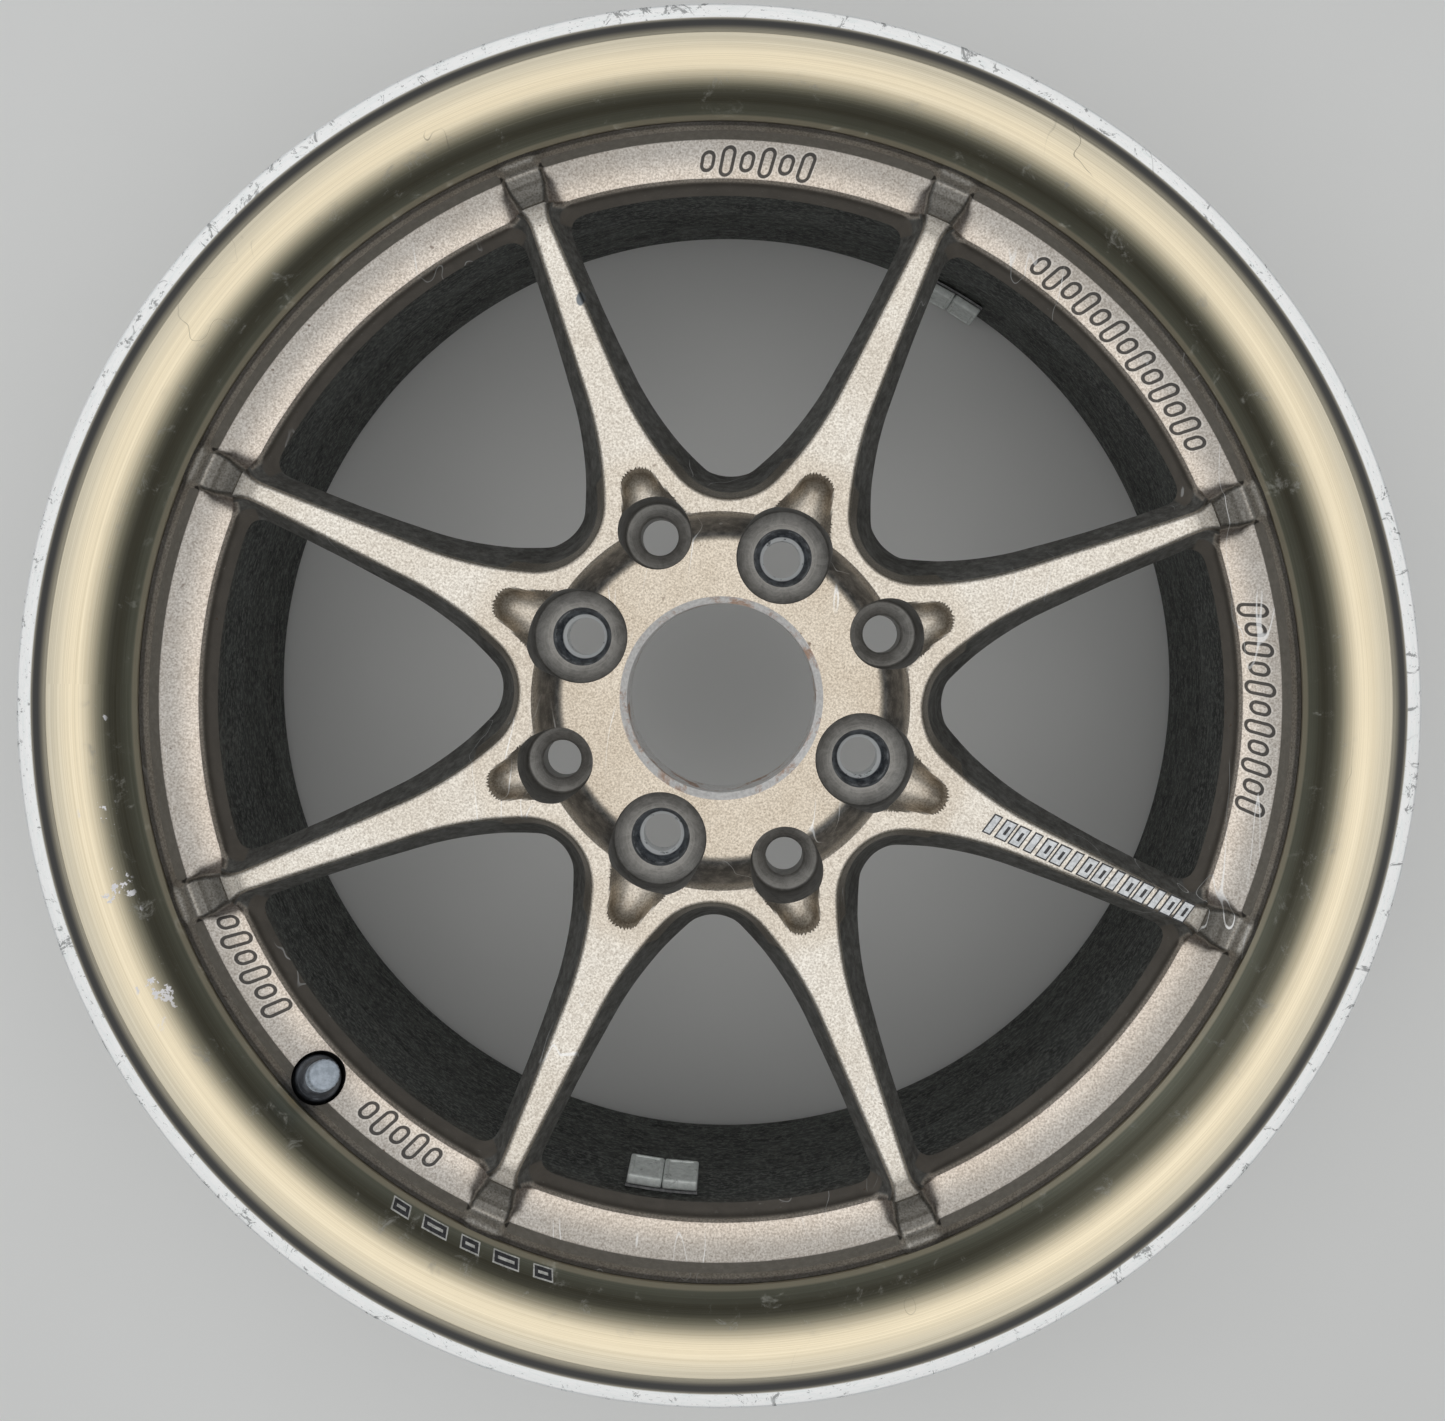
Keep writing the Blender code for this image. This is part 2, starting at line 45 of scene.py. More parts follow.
class Wire:
    # a value running between nodes, so that sums can be written as sums
    def __init__(self, paint, socket):
        self.paint = paint
        self.socket = socket

    def maths(self, operation, *others):
        return self.paint.maths(operation, self, *others)

    def __add__(self, other):
        return self.maths("ADD", other)

    __radd__ = __add__

    def __mul__(self, other):
        return self.maths("MULTIPLY", other)

    __rmul__ = __mul__

    def __sub__(self, other):
        return self.maths("SUBTRACT", other)

    def __rsub__(self, other):
        return self.paint.maths("SUBTRACT", other, self)

    def __pow__(self, other):
        return self.maths("POWER", other)

    def __abs__(self):
        return self.maths("ABSOLUTE")

    def step(self, low, high):  # 0 below low, 1 above high, smooth between
        return self.paint.add("ShaderNodeMapRange", {"interpolation_type": "SMOOTHSTEP"},
                              {"Value": self, "From Min": low, "From Max": high})

    def between(self, low, high, soft):  # 1 from low to high, its ends eased over soft either way
        return self.step(low - soft, low + soft) * (1 - self.step(high - soft, high + soft))


class Paint:
    # one material and the nodes behind it
    def __init__(self, name):
        self.material = bpy.data.materials.new(name)
        self.material.use_nodes = True
        self.tree = self.material.node_tree
        self.tree.nodes.clear()
        self.shader = self.tree.nodes.new("ShaderNodeBsdfPrincipled")
        output = self.tree.nodes.new("ShaderNodeOutputMaterial")
        self.tree.links.new(self.shader.outputs["BSDF"], output.inputs["Surface"])
        self.place = self.add("ShaderNodeTexCoord", {}, {}, "Object")

    def add(self, kind, settings, inputs, output=0):
        node = self.tree.nodes.new(kind)
        for key, value in settings.items():
            setattr(node, key, value)
        for key, value in inputs.items():
            self.feed(node.inputs[key], value)
        return Wire(self, node.outputs[output])

    def maths(self, operation, *values):
        return self.add("ShaderNodeMath", {"operation": operation}, dict(enumerate(values)))

    def feed(self, socket, value):
        if isinstance(value, Wire):
            self.tree.links.new(value.socket, socket)
        elif isinstance(value, tuple) and len(value) == 3 and socket.type == "RGBA":
            socket.default_value = value + (1.0,)
        else:
            socket.default_value = value

    def set(self, **inputs):  # the shader's own sockets
        for key, value in inputs.items():
            self.feed(self.shader.inputs[key.replace("_", " ")], value)

    def mix(self, factor, first, second):  # colours
        return self.add("ShaderNodeMix", {"data_type": "RGBA"}, {0: factor, 6: first, 7: second}, 2)

    def tint(self, factor, colour, amount):  # multiplies a colour by a grey amount
        return self.add("ShaderNodeMix", {"data_type": "RGBA", "blend_type": "MULTIPLY"},
                        {0: factor, 6: colour, 7: amount}, 2)

    def axes(self):
        return [self.add("ShaderNodeSeparateXYZ", {}, {0: self.place}, axis) for axis in range(3)]

    def vector(self, x, y, z):
        return self.add("ShaderNodeCombineXYZ", {}, {0: x, 1: y, 2: z})

    def noise(self, scale, detail=2.0, rough=0.5, vector=None, warp=0.0):
        return self.add("ShaderNodeTexNoise", {}, {"Vector": vector or self.place, "Scale": scale,
                        "Detail": detail, "Roughness": rough, "Distortion": warp})

    def spots(self, scale):
        return self.add("ShaderNodeTexVoronoi", {}, {"Vector": self.place, "Scale": scale})

    def polar(self):  # distance from the wheel's axis in mm, turn in radians, depth below the lip in mm
        x, y, z = self.axes()
        radius = (x * x + y * y) ** 0.5 * 1000.0
        turn = self.maths("ARCTAN2", y, x)
        depth = lipHeight - z * 1000.0
        return radius, turn, depth

    def bump(self, height, strength, distance):
        return self.add("ShaderNodeBump", {}, {"Height": height, "Strength": strength, "Distance": distance})


def softProfile(points, radius, blur):
    # height (minus depth) along a list of (radius, depth), with its corners eased over blur mm
    r = np.array([p[0] for p in points])
    h = -np.array([p[1] for p in points])
    return sum(np.interp(radius + k * blur, r, h) for k in (-1.0, -0.6, -0.2, 0.2, 0.6, 1.0)) / 6.0


def bluntMin(a, b, blend):
    # the lesser of two, with the corner between them rounded over blend
    near = np.clip(0.5 + 0.5 * (b - a) / blend, 0.0, 1.0)
    return b * (1 - near) + a * near - blend * near * (1 - near)


def bluntMax(a, b, blend):
    return -bluntMin(-a, -b, blend)


def solve(test, low, high, rounds=40):
    # the value between low and high where test changes from below to above zero
    for _ in range(rounds):
        middle = (low + high) / 2
        above = test(middle) > 0
        high = np.where(above, middle, high)
        low = np.where(above, low, middle)
    return (low + high) / 2


def gridPatch(bm, rows, columns, place):
    # a grid of rows x columns faces; place turns row and column numbers into x, y, height in mm
    made = bmesh.ops.create_grid(bm, x_segments=columns, y_segments=rows, size=1.0)["verts"]
    column = np.rint((np.array([v.co.x for v in made]) * 0.5 + 0.5) * columns).astype(int)
    row = np.rint((np.array([v.co.y for v in made]) * 0.5 + 0.5) * rows).astype(int)
    x, y, z = place(row, column)
    for v, px, py, pz in zip(made, x, y, z):
        v.co = (px * mm, py * mm, pz * mm)
    return made


def filletProfile(points):
    # (radius, depth, fillet) points into a line with round corners
    line = []
    count = len(points)
    for i, point in enumerate(points):
        here = Vector(point[:2])
        fillet = point[2] if len(point) > 2 else 0
        if not fillet:
            line.append(here)
            continue
        before = Vector(points[i - 1][:2]) - here
        after = Vector(points[(i + 1) % count][:2]) - here
        a, b = before.normalized(), after.normalized()
        half = a.angle(b) / 2
        reach = min(fillet / math.tan(half), before.length * 0.98, after.length * 0.98)
        fillet = reach * math.tan(half)
        centre = here + (a + b).normalized() * (fillet / math.sin(half))
        first, last = here + a * reach - centre, here + b * reach - centre
        turn = first.angle_signed(last)
        steps = max(2, int(abs(math.degrees(turn)) / 7))
        for k in range(steps + 1):
            line.append(centre + Matrix.Rotation(-turn * k / steps, 2) @ first)
    return line


def belowLip(depth):
    return (lipHeight - depth) * mm


def spunBody(name, points, steps, height=belowLip, closed=True, sharp=32):
    # a body of revolution about Z from (radius, depth, fillet) points
    bm = bmesh.new()
    line = filletProfile(points)
    verts = [bm.verts.new((max(p[0], 0) * mm, 0, height(p[1]))) for p in line]
    edges = [bm.edges.new((verts[i], verts[i + 1])) for i in range(len(verts) - 1)]
    if closed:
        edges.append(bm.edges.new((verts[-1], verts[0])))
    bmesh.ops.spin(bm, geom=verts + edges, cent=(0, 0, 0), axis=(0, 0, 1), angle=math.tau, steps=steps,
                   use_merge=True, use_duplicate=False)
    bmesh.ops.remove_doubles(bm, verts=bm.verts[:], dist=1e-6)
    bmesh.ops.recalc_face_normals(bm, faces=bm.faces[:])
    return toObject(name, bm, sharp)


def toObject(name, bm, sharp=32):
    mesh = bpy.data.meshes.new(name)
    bm.to_mesh(mesh)
    bm.free()
    obj = bpy.data.objects.new(name, mesh)
    bpy.context.scene.collection.objects.link(obj)
    mesh.shade_smooth()
    mesh.set_sharp_from_angle(angle=math.radians(sharp))
    return obj


def moveMesh(obj, matrix):
    obj.data.transform(matrix)
    return obj


def copies(bm, geom, matrices):
    # the first geometry stays, and each matrix adds a copy
    for matrix in matrices:
        made = bmesh.ops.duplicate(bm, geom=geom)["geom"]
        bmesh.ops.transform(bm, matrix=matrix, verts=[g for g in made if isinstance(g, bmesh.types.BMVert)])


def cut(obj, cutters, sharp=32):
    # cuts the cutters away and removes them
    for cutter in cutters:
        tool = obj.modifiers.new("cut", "BOOLEAN")
        tool.operation = "DIFFERENCE"
        tool.solver = "EXACT"
        tool.material_mode = "TRANSFER"
        tool.object = cutter
    bpy.context.view_layer.update()
    result = bpy.data.meshes.new_from_object(obj.evaluated_get(bpy.context.evaluated_depsgraph_get()))
    obj.modifiers.clear()
    obj.data = result
    result.set_sharp_from_angle(angle=math.radians(sharp))
    for cutter in cutters:
        bpy.data.objects.remove(cutter)
    print("cut", obj.name, len(result.polygons))


def paintFaces(obj, materials, choose=None):
    # choose gives a material's number for a face's middle (in mm) and normal
    for material in materials:
        obj.data.materials.append(material)
    if choose:
        for face in obj.data.polygons:
            face.material_index = choose(face.center / mm, face.normal)


def finishPiece(obj, slot, *nodes, body="wheel"):
    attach(obj, body)
    if nodes:
        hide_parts(*nodes)
    print("piece", obj.name, len(obj.data.polygons), "faces")
    return obj


# the camera looks straight down the axle; places are in metres, turns in degrees
view = {"focal": 36.05, "lipFromLens": (-0.0076, -0.0238, -0.4265), "shift": (-0.0154, -0.0591),
        "roll": -1.85}
camera = bpy.data.objects.new("camera", bpy.data.cameras.new("camera"))
bpy.context.scene.collection.objects.link(camera)
tilt = Matrix.Rotation(math.radians(-view["roll"]), 4, "Z")
spot = Vector((0, 0, lipHeight * mm)) - tilt @ Vector(view["lipFromLens"])
camera.matrix_world = Matrix.Translation(spot) @ tilt
camera.data.lens = view["focal"]
camera.data.shift_x, camera.data.shift_y = view["shift"]
camera.data.sensor_width = 36.0
camera.data.clip_start = 0.01
bpy.context.scene.camera = camera
bpy.context.scene.view_settings.view_transform = "Standard"

bm = bmesh.new()
bmesh.ops.create_grid(bm, x_segments=8, y_segments=8, size=3.0)
floor = moveMesh(toObject("floor", bm), Matrix.Translation((0, 0, -0.5 * mm)))
floorPaint = Paint("paleFloor")
cloudy = floorPaint.mix(floorPaint.noise(6.0, 3.0), (0.84, 0.845, 0.84), (0.89, 0.895, 0.89))
floorPaint.set(Base_Color=cloudy, Roughness=0.85)
floor.data.materials.append(floorPaint.material)

world = bpy.data.worlds.new("studio")
bpy.context.scene.world = world
world.use_nodes = True
sky = world.node_tree.nodes["Background"]
sky.inputs["Color"].default_value = (0.93, 0.97, 1.0, 1.0)
sky.inputs["Strength"].default_value = 0.27

lamps = {"overhead": {"place": (0.0, 0.0, 1.9), "size": 2.9, "power": 21.0, "colour": (1.0, 0.985, 0.96)},
         "side": {"place": (-1.7, 1.1, 1.0), "size": 1.2, "power": 3.0, "colour": (0.95, 0.98, 1.0)}}
for name, lamp in lamps.items():
    light = bpy.data.objects.new(name, bpy.data.lights.new(name, "AREA"))
    light.data.shape = "DISK"
    light.data.size = lamp["size"]
    light.data.energy = lamp["power"]
    light.data.color = lamp["colour"]
    light.location = lamp["place"]
    light.rotation_euler = (Vector((0, 0, 0.1)) - light.location).to_track_quat("-Z", "Y").to_euler()
    bpy.context.scene.collection.objects.link(light)
print("camera, floor and lights ready")


# engraved pills on the band: each group runs from one pitch number to another round the circle
pills = {"circle": 169.6, "pitch": 6.2, "groups": ((39, 45), (14, 27), (-5, 6), (-74, -68), (-62, -57))}


def forgedBronze():
    # satin bronze lacquer with a fine metallic grain, duller on the band; painted shade mottled with dust
    # darkens the walls, and painted shade and highlights are laid into the hollows, creases and band
    p = Paint("forgedBronze")
    radius, turn, depth = p.polar()
    x, y, z = p.axes()
    grain = p.noise(1500.0, 2.0, 0.65)
    fleck = p.spots(1150.0).step(0.05, 0.5)
    cloud = p.noise(34.0, 4.0, 0.62)
    dust = p.noise(160.0, 5.0, 0.7, warp=0.6)
    rub = p.noise(1.0, 5.0, 0.75, p.vector(radius * 0.35, turn * 14.0, depth * 0.25))
    smear = p.noise(55.0, 5.0, 0.75, p.vector(radius * 0.022, turn * 0.9, depth * 0.011))
    base = p.mix(grain.step(0.3, 0.7), (0.58, 0.535, 0.475), (0.93, 0.89, 0.82))
    base = p.tint(0.6, base, p.mix(fleck, (0.60, 0.57, 0.54), (1, 1, 1)))
    base = p.tint(0.5, base, p.mix(cloud.step(0.30, 0.68), (0.74, 0.70, 0.65), (1, 1, 1)))
    web = radius.between(58.0, 82.0, 3.0)
    base = p.mix(web * 0.5, base, p.tint(1.0, base, (0.86, 0.81, 0.75)))
    hub = 1 - radius.step(54.0, 56.0)
    cove = radius.between(52.6, 58.4, 0.9)
    scoop = radius.step(66.0, 75.0) * (1 - radius.step(80.0, 84.0)) * depth.step(28.2, 30.0)
    ramp = radius.step(155.0, 166.5) * (1 - depth.step(24.7, 25.8)) * (1 - radius.step(174.0, 176.5) * 0.75)
    band = radius.step(162.8, 163.8) * depth.step(24.8, 26.2) * (1 - radius.step(176.2, 176.8))
    inner = 1 - radius.step(164.5, 173.5)
    ledge = radius.step(178.2, 178.5)
    crease = radius.between(175.8, 176.9, 0.3) * depth.step(23.2, 24.2)
    aboveFloor = (29.5 - 0.28 * (radius - 164.5) - depth).step(0.15, 1.1)
    aboveFloor = aboveFloor * radius.between(163.8, 175.8, 0.5)
    base = p.mix(hub, base, p.tint(1.0, base, (0.90, 0.85, 0.785)))
    # painted shade, mottled, on the steep wall of the hub's recess
    base = p.mix(cove, base, p.mix(rub.step(0.35, 0.75), (0.085, 0.082, 0.077), (0.27, 0.255, 0.235)))
    # painted shade in the hollows at the spokes' feet
    base = p.mix(scoop, base, p.tint(1.0, base, (0.55, 0.53, 0.50)))
    # painted shade on the outward-facing ramp at each spoke's outer end
    base = p.mix(ramp, base, p.tint(1.0, base, (0.23, 0.235, 0.24)))
    base = p.mix(band, base, p.tint(1.0, base, (0.73, 0.73, 0.75)))
    # painted highlight along the band's inner side
    base = p.mix(band * inner, base, p.tint(1.0, base, (1.50, 1.44, 1.38)))
    # painted shade on the slopes rising from the band floor to the spokes
    base = p.mix(band * aboveFloor, base, p.tint(1.0, base, (0.36, 0.355, 0.36)))
    # painted shadow on the thin ledge under the lip's step
    base = p.mix(ledge, base, p.tint(1.0, base, (0.42, 0.43, 0.45)))
    # painted shade: a dark line in the crease at the pocket's outer end
    base = p.mix(crease * 0.9, base, (0.04, 0.04, 0.04))
    wall = radius.between(159.0, 164.0, 0.4) * depth.step(30.4, 31.6)
    below = depth - 27.7 + 0.06 * (radius - 58.9).maths("MAXIMUM", 0.0)
    below = below - 0.25 * (radius - 158.0).maths("MAXIMUM", 0.0)  # mm under the spoke's face
    hollow = radius.between(58.0, 79.5, 0.5)
    down = below.step(1.0, 2.2) * radius.step(60.5, 62.5) * (1 - band) * (1 - radius.step(165.0, 172.0) * 0.6)
    down = down * (1 - hollow * (1 - depth.step(35.5, 38.0)))
    # painted shade down the spoke walls below the face, mottled with dust
    wallShadeAndDust = down * (0.80 + 0.20 * dust)
    wallShadeAndDustColour = p.mix(rub.step(0.33, 0.72), (0.028, 0.030, 0.030), (0.17, 0.175, 0.17))
    base = p.mix(wallShadeAndDust, base, wallShadeAndDustColour)
    # painted shade, mottled with dust, on the band's inner wall running down into the barrel
    base = p.mix(wall, base, p.mix(dust, (0.12, 0.108, 0.094), (0.23, 0.205, 0.175)))
    # slanted pills engraved round the band, cut as outlines
    pitch = pills["pitch"]
    along = turn * pills["circle"]
    cell = along.maths("FLOORED_MODULO", pitch) - pitch / 2
    odd = along.maths("FLOORED_MODULO", pitch * 2).step(pitch - 0.01, pitch + 0.01)
    rise = radius - pills["circle"]
    reach = (abs(rise) - 0.9 - 1.4 * odd).maths("MAXIMUM", 0.0)
    side = cell + rise * 0.22
    pill = (side * side + reach * reach) ** 0.5 - 1.75
    marks = sum(turn.between(start * pitch / pills["circle"], end * pitch / pills["circle"], 0.001)
                for start, end in pills["groups"])
    cut = (1 - abs(pill).step(0.40, 0.62)) * marks * band * (1 - wall)
    base = p.mix(cut * 0.92, base, (0.045, 0.043, 0.042))
    base = p.mix(pill.between(0.55, 0.95, 0.15) * marks * band * 0.35, base, (0.85, 0.81, 0.76))
    speck = p.noise(420.0, 2.0, 0.5).step(0.70, 0.74) * cloud.step(0.5, 0.62)
    base = p.mix(speck * 0.75, base, (0.13, 0.085, 0.06))
    drag = p.noise(1.0, 2.0, 0.5, p.vector(x * 60.0, y * 9.0, z * 30.0))
    scratch = (1 - abs(drag - 0.5).step(0.0015, 0.004)) * p.noise(22.0, 3.0).step(0.56, 0.64)
    base = p.mix(scratch * 0.6, base, (0.90, 0.91, 0.92))
    chalk = smear.step(0.60, 0.72) * p.noise(700.0, 2.0).step(0.45, 0.7)
    base = p.mix(chalk * 0.35, base, (0.78, 0.78, 0.75))
    chipX, chipY = x * 1000.0 + 47.5, (y * 1000.0 - 124.0) * 0.6  # mm from one chip in a spoke's lacquer
    chip = 1 - ((chipX ** 2.0 + chipY ** 2.0) ** 0.5 + dust).step(1.6, 2.0)
    base = p.mix(chip, base, (0.20, 0.215, 0.23))
    p.set(Base_Color=base, Metallic=0.95 - 0.75 * wallShadeAndDust - 0.4 * chalk - 0.35 * cove,
          Roughness=0.34 + 0.10 * cloud + 0.07 * grain + 0.22 * wallShadeAndDust + 0.12 * band,
          Normal=p.bump(grain + 0.5 * fleck + 0.6 * dust - 3.0 * cut, 0.30, 0.00013))
    return p.material


def pocketBlack():
    # machined pockets under worn black-brown lacquer
    p = Paint("pocketBlack")
    depth = p.polar()[2]
    rings = p.noise(1.0, 3.0, 0.7, p.vector(0.0, 0.0, depth * 2.4))
    soot = p.noise(210.0, 6.0, 0.8, warp=0.6)
    base = p.mix(soot.step(0.33, 0.68), (0.10, 0.098, 0.094), (0.34, 0.33, 0.315))
    base = p.mix(rings.step(0.45, 0.62) * 0.55, base, (0.34, 0.325, 0.30))
    lowest = depth.step(46.0, 47.2)
    base = p.mix(lowest * 0.35, base, (0.40, 0.385, 0.36))
    p.set(Base_Color=base, Metallic=0.7, Roughness=0.34 + 0.2 * soot,
          Normal=p.bump(rings + 0.3 * soot, 0.45, 0.00015))
    return p.material


def seatSteel():
    # bearing cones where the nuts bear: blued, rubbed bright at the hole
    p = Paint("seatSteel")
    depth = p.polar()[2]
    scuff = p.noise(300.0, 4.0, 0.7)
    base = p.mix(scuff.step(0.35, 0.65), (0.045, 0.053, 0.068), (0.20, 0.22, 0.25))
    bright = depth.between(53.0, 54.2, 0.4) * scuff.step(0.45, 0.60) * 0.4
    bright = bright + depth.step(57.3, 58.0) * scuff.step(0.30, 0.42)
    base = p.mix(bright * 0.95, base, (0.92, 0.94, 0.95))
    p.set(Base_Color=base, Metallic=0.85 - 0.7 * bright, Roughness=0.25 + 0.2 * scuff,
          Normal=p.bump(scuff, 0.2, 0.0001))
    return p.material


def boreMetal():
    # bare alloy bore with rust from the hub
    p = Paint("boreMetal")
    rust = p.noise(90.0, 5.0, 0.75, warp=0.4).step(0.50, 0.66)
    fine = p.noise(900.0, 3.0)
    base = p.mix(fine.step(0.3, 0.7), (0.78, 0.77, 0.76), (0.98, 0.97, 0.96))
    base = p.mix(rust * 0.85, base, p.mix(fine, (0.36, 0.19, 0.11), (0.58, 0.36, 0.24)))
    p.set(Base_Color=base, Metallic=0.25 - 0.2 * rust, Roughness=0.35 + 0.4 * rust,
          Normal=p.bump(fine + rust, 0.3, 0.0002))
    return p.material


def goldLip():
    # the turned lip: clear gold over fine circular tool lines, rubbed to bare metal round the flange
    p = Paint("goldLip")
    radius, turn, depth = p.polar()
    x, y, z = p.axes()
    lines = p.noise(1.0, 3.0, 0.7, p.vector(radius * 5.5, turn * 1.2, depth * 2.0))
    broad = p.noise(1.0, 2.0, 0.5, p.vector(radius * 0.9, turn * 0.7, depth * 0.5))
    cloud = p.noise(26.0, 4.0, 0.6)
    base = p.mix(lines.step(0.25, 0.75), (0.72, 0.625, 0.45), (0.91, 0.81, 0.615))
    base = p.tint(0.35, base, p.mix(broad.step(0.3, 0.7), (0.80, 0.79, 0.77), (1, 1, 1)))
    base = p.tint(0.25, base, p.mix(cloud.step(0.35, 0.65), (0.82, 0.82, 0.82), (1, 1, 1)))
    pale = radius.step(193.0, 199.4)
    base = p.mix(pale, base, p.tint(1.0, base, (0.70, 0.73, 0.78)))
    wall = 1 - radius.step(185.6, 192.3)
    foot = 1 - radius.step(179.4, 183.2)
    # painted dark reflection on the steep lip wall, turning lighter grey-green towards its foot
    base = p.mix(wall, base, p.tint(1.0, base, (0.20, 0.215, 0.215)))
    base = p.mix(foot, base, p.tint(1.0, base, (1.9, 2.05, 2.2)))
    # painted highlight along the sharp edge at the lip's foot
    base = p.mix(radius.between(178.6, 179.7, 0.25) * 0.8, base, (0.66, 0.60, 0.46))
    wobble = p.noise(9.0, 3.0, 0.6) * 1.6
    edge = radius + wobble * 0.3
    lipEdgeShade = edge.between(200.8, 203.1, 0.9)
    # painted shade: a dark line round the turn from the lip onto the flange top
    base = p.mix(lipEdgeShade * 0.92, base, (0.045, 0.048, 0.056))
    bareEdge = edge.step(203.0, 203.5)
    scrape = p.noise(1.0, 4.0, 0.75, p.vector(radius * 1.3, turn * 30.0, depth * 1.3))
    gouge = p.noise(120.0, 5.0, 0.8, warp=1.0)
    bare = p.mix(scrape.step(0.25, 0.6), (0.90, 0.94, 0.94), (1.0, 1.0, 1.0))
    nicks = p.noise(1.0, 5.0, 0.8, p.vector(radius * 1.6, turn * 75.0, depth * 1.6)).step(0.60, 0.65)
    bare = p.mix(gouge.step(0.57, 0.63) * 0.7, bare, (0.16, 0.165, 0.17))
    bare = p.mix(nicks * 0.8, bare, (0.22, 0.225, 0.23))
    base = p.mix(bareEdge, base, bare)
    chips = (turn + 3.05).between(-0.25, 0.45, 0.05) * radius.between(184.5, 193.5, 0.8)
    chips = chips * p.noise(70.0, 5.0, 0.75).step(0.585, 0.61)
    base = p.mix(chips, base, (0.78, 0.77, 0.80))
    dust = p.noise(130.0, 6.0, 0.8, warp=0.5).step(0.56, 0.70) * wall
    base = p.mix(dust * 0.45, base, (0.45, 0.45, 0.42))
    drag = p.noise(1.0, 2.0, 0.5, p.vector(x * 50.0, y * 40.0, z * 90.0))
    scuffs = (1 - abs(drag - 0.5).step(0.0015, 0.004)) * p.noise(14.0, 3.0).step(0.60, 0.66)
    base = p.mix(scuffs * 0.6, base, (0.12, 0.11, 0.09))
    p.set(Base_Color=base, Metallic=1.0 - 0.8 * chips - 0.6 * dust - 0.5 * lipEdgeShade - 0.45 * bareEdge,
          Roughness=0.27 + 0.10 * cloud + 0.10 * lines + 0.12 * bareEdge + 0.3 * dust + 0.25 * lipEdgeShade,
          Normal=p.bump(lines + bareEdge * (0.4 * scrape + 0.7 * gouge.step(0.58, 0.66)), 0.25, 0.00012))
    return p.material


def dustyBarrel():
    # the inside of the barrel: black-brown brake dust, streaked round and worn paler in patches
    p = Paint("dustyBarrel")
    radius, turn, depth = p.polar()
    streak = p.noise(1.0, 5.0, 0.72, p.vector(turn * 9.0, depth * 0.09, radius * 0.05), 0.8)
    grit = p.noise(520.0, 4.0, 0.75)
    patch = p.noise(40.0, 5.0, 0.7, warp=0.5)
    flakes = p.noise(1.0, 5.0, 0.85, p.vector(turn * 80.0, depth * 0.7, radius * 0.3)).step(0.47, 0.60)
    base = p.mix(streak.step(0.30, 0.70), (0.010, 0.012, 0.011), (0.085, 0.093, 0.085))
    base = p.mix(patch.step(0.55, 0.70) * grit.step(0.35, 0.7) * 0.6, base, (0.24, 0.23, 0.21))
    base = p.mix(flakes * 0.75, base, (0.24, 0.25, 0.235))
    brown = 1 - depth.step(40.0, 60.0)
    base = p.mix(brown * 0.8, base, p.mix(grit, (0.17, 0.155, 0.13), (0.32, 0.29, 0.25)))
    p.set(Base_Color=base, Metallic=0.35, Roughness=0.48 + 0.3 * patch,
          Normal=p.bump(grit + patch, 0.3, 0.0003))
    return p.material


def seatBronze():
    # tyre side of the rim: the same bronze, scuffed by tyre beads and tools
    p = Paint("seatBronze")
    radius, turn, depth = p.polar()
    grain = p.noise(1800.0, 2.0, 0.6)
    rub = p.noise(1.0, 4.0, 0.7, p.vector(turn * 5.0, depth * 0.5, radius * 0.3))
    patch = p.noise(30.0, 5.0, 0.7)
    base = p.mix(grain, (0.40, 0.35, 0.29), (0.58, 0.52, 0.44))
    beads = 1 - depth.between(22.0, 168.0, 4.0)
    base = p.mix(beads * rub.step(0.42, 0.7) * 0.75, base, (0.075, 0.075, 0.072))
    base = p.mix(patch.step(0.6, 0.72) * 0.4, base, (0.30, 0.29, 0.27))
    bareEdge = radius.step(205.4, 206.6)
    base = p.mix(bareEdge * 0.9, base, p.mix(rub, (0.55, 0.56, 0.56), (0.80, 0.82, 0.82)))
    p.set(Base_Color=base, Metallic=0.9 - 0.3 * beads, Roughness=0.38 + 0.2 * patch + 0.1 * grain,
          Normal=p.bump(grain + rub, 0.25, 0.00015))
    return p.material


bronze = forgedBronze()
pocketPaint = pocketBlack()
seatPaint = seatSteel()
borePaint = boreMetal()
gold = goldLip()
barrelPaint = dustyBarrel()
tyreSide = seatBronze()
print("wheel finishes ready")

